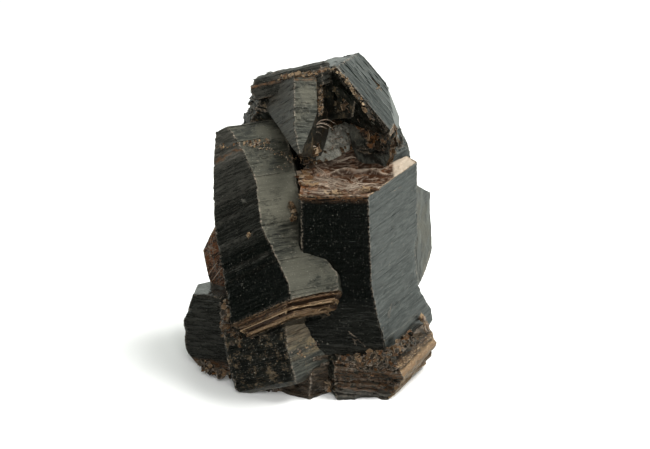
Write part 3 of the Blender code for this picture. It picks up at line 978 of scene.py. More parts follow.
class Surface:
    """A new material: its shader, and the graph that feeds it."""

    def __init__(self, name: str) -> None:
        """Start the material.

        Args:
            name: of the material.
        """
        self.material = bpy.data.materials.new(name)
        self.material.use_nodes = True
        self.graph = Graph(self.material.node_tree)
        self.shader = self.material.node_tree.nodes["Principled BSDF"]
        self.place = self.graph.own_place()

    def finish(self, colour: Value, rough: Value, height: Value, depth: float) -> Material:
        """Feed the shader.

        Args:
            colour: of the surface.
            rough: its roughness.
            height: of its relief, from 0 to about 1.
            depth: of the relief, in millimetres.

        Returns:
            The material.
        """
        bump = self.graph.node("Bump", {"Height": height, "Distance": depth * MM, "Strength": 1.0})
        for name, value in (("Base Color", colour), ("Roughness", rough), ("IOR", REFRACTION),
                            ("Normal", bump.outputs["Normal"])):
            self.graph.feed(self.shader.inputs[name], value)
        return self.material


def tint(colour: Triple, factor: float = 1.0) -> tuple[float, float, float, float]:
    """A colour for a socket, made lighter or darker."""
    return tuple(factor * part for part in colour) + (1.0,)


@dataclass(frozen=True)
class WallFinish:
    """A wall of sheet edges: dark mica under lines, dust, rust and worn edges.

    dust, rust, wear and dashes are how much there is of each, and the fleck amount that of pale
    specks, partly the mica's own and partly painted glints. patch is the fineness of the dust's
    patches and grain that of their outline. lines is the relief, in millimetres.
    """

    name: str
    dark: Triple
    pale: Triple
    roughness: float = 0.3
    dust: float = 0.2
    dust_colour: Triple = (0.16, 0.15, 0.125)
    patch: float = 0.14
    grain: float = 0.35
    rust: float = 0.2
    rust_colour: Triple = (0.16, 0.07, 0.025)
    wear: float = 0.5
    wear_colour: Triple = (0.32, 0.26, 0.2)
    lines: float = 0.05
    # How many pale specks there are, and their colour: partly specks of the mica's own, partly painted
    # glints.
    fleck_and_glint: float = 0.3
    fleck_and_glint_colour: Triple = (0.24, 0.23, 0.19)
    dashes: float = 0.12

    def _dust(self, surface: Surface, effects: Effects, streak: NodeSocket,
              grain: NodeSocket) -> NodeSocket:
        """Where dust lies: in patches, and where it is painted; a negative painted dust takes it away,
        which on some walls is painted shade.

        Args:
            surface: the new material.
            effects: the shared node groups.
            streak: the sheets' fine lines.
            grain: of the dust.

        Returns:
            The mask.
        """
        graph = surface.graph
        patch = graph.group(effects.patches, Scale=self.patch, Amount=self.dust, Grain=self.grain)
        painted = graph.math("MULTIPLY", graph.mask("dust"),
        graph.math("MULTIPLY_ADD", streak, 1.1, 0.45))
        dust = graph.math("ADD", patch.outputs["Mask"], painted, clamp=True)
        return graph.math("MULTIPLY", dust, graph.math("MULTIPLY_ADD", grain, 0.9, 0.25), clamp=True)

    def _rust(self, surface: Surface, effects: Effects) -> NodeSocket:
        """Where rust lies: in seams between sheets, and where it is painted.

        Args:
            surface: the new material.
            effects: the shared node groups.

        Returns:
            The mask.
        """
        graph, place = surface.graph, surface.place
        seam = graph.noise(graph.stretch(place, (0.12, 0.12, 1.7), (3, 7, 1)), 1.0, 3.0, 0.6)
        seam = graph.ramp(seam, 0.80 - 0.35 * self.rust, 0.86 - 0.35 * self.rust)
        patchy = graph.group(effects.patches, Scale=0.22, Amount=0.25 + 0.5 * self.rust, Grain=0.5)
        broken = graph.ramp(graph.noise(graph.stretch(place, (0.8, 0.8, 3.0)), 1.0, 3.0), 0.38, 0.6)
        painted = graph.math("MULTIPLY", graph.mask("rust"), broken)
        return graph.math("ADD", graph.math("MULTIPLY", seam, patchy.outputs["Mask"]), painted, clamp=True)

    def build(self, effects: Effects) -> Material:
        """Make the material.

        Args:
            effects: the shared node groups.

        Returns:
            The material.
        """
        surface = Surface(self.name)
        graph, place = surface.graph, surface.place
        lines = graph.group(effects.lines)
        streak = graph.ramp(lines.outputs["Fine"], 0.42, 0.62)
        grain = graph.noise(place, 5.0, 4.0, 0.75)
        dash = graph.math("MULTIPLY", lines.outputs["Dash"], self.dashes)
        dust = self._dust(surface, effects, streak, grain)
        dust_tone = graph.mix(
            lines.outputs["Broad"], tint(self.dust_colour, 0.62), tint(self.dust_colour, 1.25))
        # Pale specks: partly the mica's own, partly painted glints.
        flecks_and_glints = graph.ramp(graph.noise(place, 4.2, 1.0, 0.5), 0.71 - 0.05 * self.fleck_and_glint, 0.76)
        flecks_and_glints = graph.math("MULTIPLY", flecks_and_glints, 0.3 + 0.7 * self.fleck_and_glint)
        worn = graph.group(effects.wear, Amount=self.wear).outputs["Mask"]
        colour = graph.mix(streak, tint(self.dark), tint(self.pale))
        for share, coat in (
            (dash, tint(self.wear_colour)), (dust, dust_tone),
            (self._rust(surface, effects), tint(self.rust_colour)),
            (flecks_and_glints, tint(self.fleck_and_glint_colour)), (worn, tint(self.wear_colour)),
        ):
            colour = graph.mix(share, colour, coat)
        rough = graph.math("MULTIPLY_ADD", lines.outputs["Fine"], 0.16, self.roughness - 0.08)
        rough = graph.math("MULTIPLY_ADD", dust, 0.3, rough, clamp=True)
        crumb = graph.math("MULTIPLY", dust, 0.3)
        height = graph.math("MULTIPLY_ADD", grain, crumb, lines.outputs["Height"])
        return surface.finish(colour, rough, height, self.lines)


@dataclass(frozen=True)
class EndFinish:
    """A broken or cleaved end: thin brown flakes with pale edges.

    sheets is how far each sheet has a colour of its own, bands the number of flaked steps and
    lips how pale their edges are. paleness is how much is tan. relief is in millimetres.
    """

    name: str
    deep: Triple = (0.020, 0.013, 0.007)
    rust: Triple = (0.10, 0.048, 0.018)
    tan: Triple = (0.24, 0.15, 0.075)
    cream: Triple = (0.48, 0.36, 0.23)
    sheets: float = 0.0
    bands: float = 14.0
    lips: float = 0.45
    roughness: float = 0.4
    paleness: float = 0.0
    relief: float = 0.12

    def _sheet_tones(self, graph: Graph) -> NodeSocket:
        """One of the four colours for each sheet.

        Args:
            graph: of the material.

        Returns:
            The colour.
        """
        leaf = graph.mask("leaf")
        tone = graph.mix(graph.ramp(leaf, 0.36, 0.42), tint(self.deep), tint(self.rust))
        tone = graph.mix(graph.ramp(leaf, 0.60, 0.66), tone, tint(self.tan))
        return graph.mix(graph.ramp(leaf, 0.86, 0.92), tone, tint(self.cream))

    def build(self, effects: Effects) -> Material:
        """Make the material.

        Args:
            effects: the shared node groups.

        Returns:
            The material.
        """
        surface = Surface(self.name)
        graph, place = surface.graph, surface.place
        wide = graph.noise(graph.stretch(place, (0.35, 0.9, 2.0)), 0.5, 5.0, 0.6, 0.6)
        scaled = graph.math("MULTIPLY", wide, self.bands)
        step = graph.math("FRACT", scaled)
        terrace = graph.math("FLOOR", scaled)
        tone = graph.math("FRACT", graph.math("MULTIPLY", terrace, 0.381))
        fibre = graph.noise(graph.stretch(place, (0.5, 2.6, 6.0)), 1.0, 4.0, 0.7, 0.4)
        lip = graph.math("MULTIPLY", graph.ramp(step, 0.80, 0.97), graph.ramp(fibre, 0.35, 0.6))
        worn = graph.group(effects.wear, Amount=1.0).outputs["Mask"]
        colour = graph.mix(graph.ramp(tone, 0.1, 0.9), tint(self.deep), tint(self.rust))
        for share, coat in (
            (graph.ramp(fibre, 0.5 - self.paleness, 0.72 - self.paleness), tint(self.tan)),
            (graph.math("MULTIPLY", lip, self.lips), tint(self.cream)),
            (0.75 * self.sheets, self._sheet_tones(graph)),
            # The rust mask darkens to the deep brown; on the crown it holds painted shade.
            (graph.mask("rust"), tint(self.deep)), (graph.mask("dust"), tint(self.cream)),
            (worn, tint(self.cream)),
        ):
            colour = graph.mix(share, colour, coat)
        rough = graph.math("MULTIPLY_ADD", fibre, 0.35, self.roughness - 0.15, clamp=True)
        height = graph.math("MULTIPLY_ADD", terrace, 0.5, graph.math("MULTIPLY", fibre, 0.6))
        return surface.finish(colour, rough, height, self.relief)


WALLS = (
    WallFinish(BLACK.value, (0.0009, 0.0014, 0.0009), (0.0036, 0.0048, 0.0036),
               roughness=0.25, dust=0.03, rust=0.12, wear=0.6, lines=0.08, fleck_and_glint=0.15, dashes=0.04),
    WallFinish(SLATE.value, (0.003, 0.005, 0.005), (0.042, 0.047, 0.043),
               roughness=0.30, dust=0.03, rust=0.1, wear=0.6, lines=0.07, fleck_and_glint=0.15, dashes=0.25),
    WallFinish(DUSTY.value, (0.005, 0.0055, 0.004), (0.048, 0.047, 0.035),
               roughness=0.45, dust=0.62, dust_colour=(0.105, 0.10, 0.075), rust=0.12, wear=0.7,
               lines=0.14, fleck_and_glint=0.5, dashes=0.25),
    WallFinish(GREY.value, (0.012, 0.0125, 0.010), (0.06, 0.06, 0.048),
               roughness=0.40, dust=0.42, dust_colour=(0.096, 0.091, 0.069), rust=0.2, wear=0.7,
               lines=0.12, fleck_and_glint=0.5, dashes=0.25),
    WallFinish(SPECKLED.value, (0.20, 0.20, 0.17), (0.42, 0.41, 0.35),
               roughness=0.5, dust=0.5, dust_colour=(0.36, 0.33, 0.26), patch=0.5, grain=0.9, rust=0.35,
               wear=0.7, lines=0.35, fleck_and_glint=0.9, dashes=0.3),
    WallFinish(CRUSTED.value, (0.0015, 0.002, 0.0015), (0.010, 0.011, 0.008),
               roughness=0.4, dust=0.36, dust_colour=(0.12, 0.085, 0.045), patch=0.5, grain=0.9, rust=0.5,
               rust_colour=(0.10, 0.048, 0.018), wear=0.9, lines=0.15, fleck_and_glint=0.9, dashes=0.2),
    WallFinish(PATINA.value, (0.012, 0.0125, 0.010), (0.06, 0.06, 0.048),
               roughness=0.42, dust=0.3, dust_colour=(0.25, 0.185, 0.10), rust=0.3, wear=0.7,
               lines=0.12, fleck_and_glint=0.6, dashes=0.3),
)
ENDS = (
    EndFinish(FLAKY.value),
    EndFinish(CROWN.value, deep=(0.026, 0.010, 0.004), rust=(0.098, 0.037, 0.013),
              tan=(0.14, 0.073, 0.031), cream=(0.39, 0.32, 0.245), roughness=0.4, paleness=-0.1,
              relief=0.06, bands=7.0, lips=0.3),
    EndFinish(LEAVES.value, deep=(0.020, 0.011, 0.007), rust=(0.085, 0.040, 0.017),
              tan=(0.135, 0.082, 0.040), cream=(0.36, 0.25, 0.14), relief=0.06, sheets=1.0),
    EndFinish(GLASSY.value, deep=(0.018, 0.008, 0.004), rust=(0.09, 0.032, 0.011),
              tan=(0.22, 0.10, 0.04), roughness=0.22, relief=0.04, paleness=-0.1),
    EndFinish(CRUST.value, deep=(0.012, 0.010, 0.007), rust=(0.05, 0.034, 0.02),
              tan=(0.16, 0.12, 0.08), cream=(0.36, 0.30, 0.24), roughness=0.55, paleness=-0.06,
              relief=0.25),
)


@dataclass(frozen=True)
class Studio:
    """Floor, light and camera."""

    target: Triple = (3.546, 11.918, 26.881)
    eye: Triple = (3.546, -399.177, 209.913)
    lens: float = 116.46
    sensor: float = 36.0
    floor_size: float = 3000.0

    def build(self) -> None:
        """Set all of it up."""
        self._camera()
        self._floor()
        self._world()
        self._lamp("key", (210.0, 10.0, 420.0), 220.0, 3.0)
        self._lamp("fill", (-40.0, -400.0, 330.0), 380.0, 2.2)
        scene = bpy.context.scene
        scene.view_settings.view_transform = "Standard"
        scene.view_settings.look = "None"

    def _camera(self) -> None:
        """The camera, a long way off with a long lens."""
        data = bpy.data.cameras.new("camera")
        data.lens = self.lens
        data.sensor_width = self.sensor
        data.sensor_fit = "HORIZONTAL"
        data.clip_start = 0.01
        camera = bpy.data.objects.new("camera", data)
        eye, target = Vector(self.eye) * MM, Vector(self.target) * MM
        camera.location = eye
        camera.rotation_euler = (target - eye).to_track_quat("-Z", "Y").to_euler()
        bpy.context.scene.collection.objects.link(camera)
        bpy.context.scene.camera = camera

    def _floor(self) -> None:
        """A plain pale floor that the glossy walls don't mirror."""
        bm = bmesh.new()
        bmesh.ops.create_grid(bm, x_segments=1, y_segments=1, size=self.floor_size * MM)
        material = bpy.data.materials.new("floor")
        material.use_nodes = True
        shader = material.node_tree.nodes["Principled BSDF"]
        shader.inputs["Base Color"].default_value = (0.9, 0.9, 0.89, 1.0)
        shader.inputs["Roughness"].default_value = 0.9
        floor = make_piece("floor", bm, [material])
        floor.visible_glossy = False

    def _world(self) -> None:
        """Soft light from all round, brighter from the back and the right."""
        world = bpy.data.worlds.new("studio")
        world.use_nodes = True
        bpy.context.scene.world = world
        graph = Graph(world.node_tree)
        background = world.node_tree.nodes["Background"]
        direction = graph.node("TexCoord").outputs["Generated"]
        toward = graph.vector("DOT_PRODUCT", direction, Vector((0.45, 0.85, 0.2)).normalized())
        toward = toward.node.outputs["Value"]
        bright = graph.ramp(toward, -0.45, 0.75)
        colour = graph.mix(bright, (0.03, 0.033, 0.03, 1), (0.86, 0.92, 0.85, 1))
        rays = graph.node("LightPath")
        colour = graph.mix(rays.outputs["Is Camera Ray"], colour, (1.0, 1.0, 1.0, 1))
        graph.feed(background.inputs["Color"], colour)
        background.inputs["Strength"].default_value = 1.0

    def _lamp(self, name: str, place: Triple, size: float, power: float) -> None:
        """A square soft lamp that points at the cluster.

        Args:
            name: of the lamp.
            place: in millimetres.
            size: of its side, in millimetres.
            power: in watts.
        """
        data = bpy.data.lights.new(name, "AREA")
        data.size = size * MM
        data.energy = power
        lamp = bpy.data.objects.new(name, data)
        lamp.visible_glossy = False
        lamp.location = Vector(place) * MM
        aim = Vector(self.target) * MM - lamp.location
        lamp.rotation_euler = aim.to_track_quat("-Z", "Y").to_euler()
        bpy.context.scene.collection.objects.link(lamp)


@dataclass(frozen=True)
class Bowl:
    """A hollow that is lens-shaped from above, with one steep wall at its back or its front."""

    middle: tuple[float, float]
    reach: tuple[float, float]
    turn: float
    depth: float
    steep_back: bool = True

    def share(self, x: float, y: float) -> tuple[float, float]:
        """Where a place lies between the two edges, and how wide the hollow is there.

        Args:
            x: of the place.
            y: of the place.

        Returns:
            0 at the gentle edge to 1 at the steep one, and the width as a share of the most.
        """
        angle = math.radians(self.turn)
        dx, dy = x - self.middle[0], y - self.middle[1]
        along = (dx * math.cos(angle) + dy * math.sin(angle)) / self.reach[0]
        across = (dy * math.cos(angle) - dx * math.sin(angle)) / self.reach[1]
        room = 1.0 - along * along
        if room <= 0.02:
            return -1.0, 0.0
        share = 0.5 + 0.5 * across / room
        return (share if self.steep_back else 1.0 - share), room

    def drop(self, x: float, y: float) -> float:
        """Depth of the hollow at a place.

        Args:
            x: of the place.
            y: of the place.

        Returns:
            The depth, in millimetres.
        """
        share, room = self.share(x, y)
        if not 0.0 < share < 1.0:
            return 0.0
        return self.depth * room * min(share ** 0.8, (1.0 - share) / 0.06)


@dataclass(frozen=True)
class Crown:
    """The brown broken end of the right book: terraces, two hollows and a pale frayed rim.

    The outline is that of the book's top. The surface is a fine grid whose points drop by
    the terraces' depth, and the rim is drawn down sheet by sheet.
    """

    book: Book
    top: float = 45.3
    bottom: float = 42.4
    cells: int = 170
    sheets: int = 3
    inset: float = 0.2
    terrace: float = 0.22
    tread: float = 0.7  # share of a terrace's width that is level
    bowls: tuple[Bowl, ...] = (
        Bowl((9.4, -3.8), (8.9, 5.0), -4.0, 0.95),
        Bowl((10.8, 6.0), (8.8, 4.9), 4.0, 1.1, steep_back=False),
    )
    plate_edge: float = 16.8  # where the smooth pale plate begins, to the right
    grain_turn: float = -34.0
    slate_corner: tuple[float, float] = (12.0, 4.0)  # the rim is slate to the right and front of it
    grid_middle: tuple[float, float] = (10.0, -2.0)
    grid_reach: float = 18.0

    def _depth(self, x: float, y: float) -> tuple[float, float, float]:
        """Form of the surface at a place.

        Args:
            x: of the place.
            y: of the place.

        Returns:
            The depth under the rim, how pale the sheet's lip is, and how much painted shade darkens the
            place: at the foot of each step and on the steep wall under each crest.
        """
        ragged = wander(x * 0.5, y * 0.8, 3.1) + 0.5 * wander(x * 1.6, y * 2.1, 8.0)
        broad = wander(x * 0.22, y * 0.3, 1.3)
        near, far = x + 0.5 * broad, y + 1.0 * broad + 0.12 * ragged
        deep = max(bowl.drop(near, far) for bowl in self.bowls)
        edge = self.plate_edge + 1.2 * wander(2.0, y * 0.5, 0.0) - 0.15 * y
        if x > edge:
            deep *= max(0.0, 1.0 - (x - edge) / 0.3)
        wavy = 0.5 * (wander(x * 0.2, y * 0.35, 5.0) + 0.5)
        rough = (deep + wavy) / self.terrace + 0.8 * ragged
        step = math.floor(rough)
        part = rough - step
        depth = self.terrace * (step + clamp((part - self.tread) / (1.0 - self.tread)))
        lip = 0.35 * bell(part - self.tread, 0.12)
        # Painted shade at the foot of each step.
        shade = 0.55 * bell(part - 0.95, 0.1)
        for bowl in self.bowls:
            share, room = bowl.share(near, far)
            if room > 0.08:
                crest = bell(share - 1.02, 0.022)
                lip = max(lip, crest * (0.75 + 0.9 * wander(x * 0.9, y, 6.0)))
                # Painted shadow on the steep wall under the crest.
                shade = max(shade, bell(share - 0.93, 0.055))
        return max(0.0, depth), lip, shade

    def _sides(self) -> list[tuple[float, float, float]]:
        """The sides of the outline.

        Returns:
            For each its normal's two parts, and its distance from the book's axis.
        """
        sides = []
        for side, distance in enumerate(self.book.distances(self.top)):
            angle = math.radians(self.book.spin) + math.tau * side / SIDES
            sides.append((math.cos(angle), math.sin(angle), distance))
        return sides

    def _rim_distance(self, x: float, y: float) -> float:
        """Distance from a place to the nearest side of the outline."""
        foot = self.book.foot
        return min(far - (x - foot[0]) * nx - (y - foot[1]) * ny for nx, ny, far in self._sides())

    def height(self, x: float, y: float) -> float:
        """Height of the surface at a place."""
        flattened = 1.0 - 0.75 * bell(self._rim_distance(x, y), 0.8)
        return self.top + self.book.foot[2] - self._depth(x, y)[0] * flattened

    def _shape(self, vert: BMVert, border: bool, layers: Layers) -> None:
        """Lower one point of the surface and set its masks; the rust mask holds painted shade.

        Args:
            vert: the point.
            border: whether it is on the rim.
            layers: the masks.
        """
        x, y = vert.co.x, vert.co.y
        depth, lip, shade = self._depth(x, y)
        rim = bell(self._rim_distance(x, y), 0.6)
        depth *= 1.0 - 0.75 * rim
        if border:
            depth = self.terrace * (wander(x * 0.9, y * 0.9, 1.0) + 0.5)
        vert.co.z = self.top + self.book.foot[2] - depth
        angle = math.radians(-self.grain_turn)
        vert[layers["crystal"]] = Vector((
            x * math.cos(angle) - y * math.sin(angle),
            0.45 * (x * math.sin(angle) + y * math.cos(angle)),
            0.3 * depth,
        ))
        plate = clamp((x - self.plate_edge) / 0.5) * (0.75 if y > -6.0 else 0.5)
        frayed = rim * (0.1 + 1.3 * wander(x * 1.2, y * 1.2, 2.0))
        if x > 4.0:
            frayed += 0.3 * rim
        vert[layers["dust"]] = min(1.0, max(1.15 * plate, frayed, lip))
        # The rust mask here is painted shade: on the steep walls and at the foot of the steps, and darker
        # the deeper the place lies.
        vert[layers["rust"]] = min(0.95, max(shade * (1.0 - min(1.0, lip)), 0.3 * depth))

    def _draw_down(self, bm: BMesh, rim: list[BMEdge], layers: Layers) -> None:
        """Draw the rim down in sheets, and close the crown below.

        Args:
            bm: the mesh.
            rim: its open edges.
            layers: the masks.
        """
        foot = self.book.foot
        floor, start = self.bottom + foot[2], self.top + foot[2]
        for number in range(1, self.sheets + 1):
            fresh, rim, walls = grow(bm, rim)
            share = number / self.sheets
            for vert in fresh:
                out = 0.08 * wander(vert.co.x * 0.7, vert.co.y * 0.7, number * 3.3)
                inward = Vector((foot[0] - vert.co.x, foot[1] - vert.co.y, 0.0))
                vert.co += inward.normalized() * (0.05 + out)
                vert.co.z = start + (floor - start) * share - 0.1 * (1 - share)
                vert[layers["crystal"]] = vert.co
                vert[layers["dust"]] = 0.0
                vert[layers["rust"]] = 0.9 if number <= 2 and vert.co.x < 6.0 else 0.0
                vert[layers["edge"]] = 0.5 if number == 1 else 0.0
            for wall in walls:
                middle = wall.calc_center_median()
                slate = middle.x > self.slate_corner[0] and middle.y < self.slate_corner[1]
                wall.material_index = 2 if slate else 1
        bmesh.ops.holes_fill(bm, edges=[edge for edge in bm.edges if edge.is_boundary])

    def build(self, finishes: dict[Finish, Material]) -> Object:
        """Build the crown.

        Args:
            finishes: the cluster's materials.

        Returns:
            The crown, closed below.
        """
        bm = bmesh.new()
        bmesh.ops.create_grid(bm, x_segments=self.cells, y_segments=self.cells, size=self.grid_reach)
        bmesh.ops.translate(bm, verts=bm.verts, vec=(*self.grid_middle, 0.0))
        axis = Vector((*self.book.foot[:2], 0.0))
        for nx, ny, distance in self._sides():
            normal = Vector((nx, ny, 0.0))
            cut_away(bm, axis + normal * (distance - self.inset), normal)
        (chip, direction), = self.book.chips
        cut_away(bm, Vector((chip[0] + self.inset, chip[1], 0.0)), Vector(direction))
        layers = add_layers(bm)
        rim = [edge for edge in bm.edges if edge.is_boundary]
        border = {vert for edge in rim for vert in edge.verts}
        for vert in bm.verts:
            self._shape(vert, vert in border, layers)
        self._draw_down(bm, rim, layers)
        bmesh.ops.recalc_face_normals(bm, faces=bm.faces[:])
        bm.transform(Matrix.Translation(-Vector(MIDDLE) * MM) @ Matrix.Scale(MM, 4))
        return make_piece("right_crown", bm, [finishes[kind] for kind in (CROWN, BLACK, SLATE)])


@dataclass(frozen=True)
class Shards:
    """Small broken flakes along a line, lying about as the sheets they broke from.

    path is the line, spread how far from it they lie, normal the way their faces look, loose
    how much they differ from it, and reach the least and most radius. Each flake has one of
    the finishes.
    """

    name: str
    finishes: tuple[Finish, ...]
    path: tuple[Triple, ...]
    spread: Triple
    normal: Triple
    loose: float
    reach: tuple[float, float]
    count: int
    thick: tuple[float, float] = (0.05, 0.16)
    pale: tuple[float, float] = (0.0, 0.3)
    curl: float = 0.08

    def _spot(self, chance: random.Random) -> Vector:
        """A place near the line.

        Args:
            chance: the piece's own draws.

        Returns:
            The place.
        """
        leg = chance.randrange(len(self.path) - 1)
        spot = Vector(self.path[leg]).lerp(Vector(self.path[leg + 1]), chance.random())
        return spot + Vector([reach * chance.uniform(-1.0, 1.0) for reach in self.spread])

    def _flake(self, bm: BMesh, chance: random.Random, layers: Layers) -> None:
        """Add one flake: a thin slab whose face has a worn border.

        Args:
            bm: the mesh.
            chance: the piece's own draws.
            layers: the masks.
        """
        radius = chance.uniform(*self.reach)
        ring = bmesh.ops.create_circle(
            bm, cap_ends=True, segments=chance.choice((4, 5, 6)), radius=radius)["verts"]
        for vert in ring:
            vert.co *= chance.uniform(0.5, 1.2)
        lifted = bmesh.ops.extrude_face_region(bm, geom=ring[0].link_faces[:])["geom"]
        lid = [item for item in lifted if isinstance(item, BMFace)]
        rise = chance.uniform(*self.thick)
        bmesh.ops.translate(bm, verts=[item for item in lifted if isinstance(item, BMVert)], vec=(0, 0,
        rise))
        bmesh.ops.inset_region(bm, faces=lid, thickness=0.16 * radius, use_even_offset=False)
        inner = {vert for face in lid for vert in face.verts}
        faces = {face for vert in [*ring, *inner] for face in vert.link_faces}
        verts = {vert for face in faces for vert in face.verts}
        border = verts - inner - set(ring)
        normal = Vector(self.normal).normalized() + self.loose * scatter(chance, -1.0, 1.0)
        turn = normal.to_track_quat("Z", "Y").to_matrix().to_4x4()
        spin = Matrix.Rotation(chance.uniform(0.0, math.tau), 4, "Z")
        place = Matrix.Translation(self._spot(chance) - Vector(MIDDLE)) @ turn @ spin
        tone, pale = chance.random(), chance.uniform(*self.pale)
        kind = chance.randrange(len(self.finishes))
        shift = scatter(chance, 0.0, 30.0)
        for vert in verts:
            vert.co.z += self.curl * (vert.co.x ** 2) / max(radius, 0.1)
            vert[layers["crystal"]] = vert.co + shift
            vert[layers["leaf"]] = tone
            vert[layers["dust"]] = pale
            vert[layers["rust"]] = max(0.0, 0.4 - pale) * tone
            vert[layers["edge"]] = 0.9 if vert in border else 0.0
            vert.co = place @ vert.co
        for face in faces:
            face.material_index = kind

    def build(self, finishes: dict[Finish, Material]) -> Object:
        """Build all the flakes as one piece.

        Args:
            finishes: the cluster's materials.

        Returns:
            The piece.
        """
        chance = random.Random(f"{SEED} {self.name}")
        bm = bmesh.new()
        layers = add_layers(bm)
        for _ in range(self.count):
            self._flake(bm, chance, layers)
        bmesh.ops.recalc_face_normals(bm, faces=bm.faces[:])
        bmesh.ops.scale(bm, verts=bm.verts, vec=(MM, MM, MM))
        cut_foot(bm)
        return make_piece(self.name, bm, [finishes[finish] for finish in self.finishes])


@dataclass(frozen=True)
class Strands:
    """Thin pale fibres, each bowing from its start to its end.

    runs are pairs of places; copies of each lie up to spread away. lift is how far their
    middles rise. With a crown they lie on its surface.
    """

    name: str
    runs: tuple[tuple[Triple, Triple], ...]
    crown: Crown | None = None
    lift: float = 0.0
    copies: int = 6
    spread: float = 0.8
    bow: float = 0.12
    radius: tuple[float, float] = (0.03, 0.07)
    steps: int = 9

    def _line(self, chance: random.Random, start: Vector, end: Vector) -> list[Vector]:
        """Places along one fibre.

        Args:
            chance: the piece's own draws.
            start: of the run.
            end: of the run.

        Returns:
            The places, from its start to its end.
        """
        start = start + scatter(chance, -self.spread, self.spread)
        end = end + scatter(chance, -self.spread, self.spread)
        first, last = sorted((chance.uniform(0.0, 0.35), chance.uniform(0.5, 1.0)))
        side = Vector((start.y - end.y, end.x - start.x, 0.0)) * chance.uniform(-self.bow, self.bow)
        wave, phase = 0.12 * (end - start).length, chance.uniform(0.0, math.tau)
        places = []
        for number in range(self.steps + 1):
            share = first + (last - first) * number / self.steps
            spot = start.lerp(end, share) + side * math.sin(math.pi * share)
            spot += side.normalized() * 0.25 * wave * math.sin(phase + 5.0 * share)
            spot.z += self.lift * math.sin(math.pi * share)
            if self.crown:
                spot.z = self.crown.height(spot.x, spot.y) + 0.04
            places.append(spot)
        return places

    def _fibre(self, bm: BMesh, chance: random.Random, layers: Layers, places: list[Vector]) -> None:
        """Add one fibre.

        Args:
            bm: the mesh.
            chance: the piece's own draws.
            layers: the masks.
            places: along it.
        """
        radius, pale = chance.uniform(*self.radius), chance.uniform(0.15, 0.9)
        made = bmesh.ops.create_circle(bm, segments=3, radius=radius)["verts"]
        along = (places[1] - places[0]).to_track_quat("Z", "Y").to_matrix().to_4x4()
        bmesh.ops.transform(bm, verts=made, matrix=Matrix.Translation(places[0]) @ along)
        ring = list({edge for vert in made for edge in vert.link_edges})
        for before, after in zip(places, places[1:]):
            fresh, ring, _ = grow(bm, ring)
            bmesh.ops.translate(bm, verts=fresh, vec=after - before)
            made += fresh
        for vert in made:
            vert[layers["crystal"]] = vert.co
            vert[layers["dust"]] = pale

    def build(self, finishes: dict[Finish, Material]) -> Object:
        """Build all the fibres as one piece.

        Args:
            finishes: the cluster's materials.

        Returns:
            The piece.
        """
        chance = random.Random(f"{SEED} {self.name}")
        bm = bmesh.new()
        layers = add_layers(bm)
        for start, end in self.runs:
            for _ in range(self.copies):
                self._fibre(bm, chance, layers, self._line(chance, Vector(start), Vector(end)))
        bmesh.ops.holes_fill(bm, edges=[edge for edge in bm.edges if edge.is_boundary])
        bmesh.ops.recalc_face_normals(bm, faces=bm.faces[:])
        bm.transform(Matrix.Translation(-Vector(MIDDLE) * MM) @ Matrix.Scale(MM, 4))
        return make_piece(self.name, bm, [finishes[CROWN]])


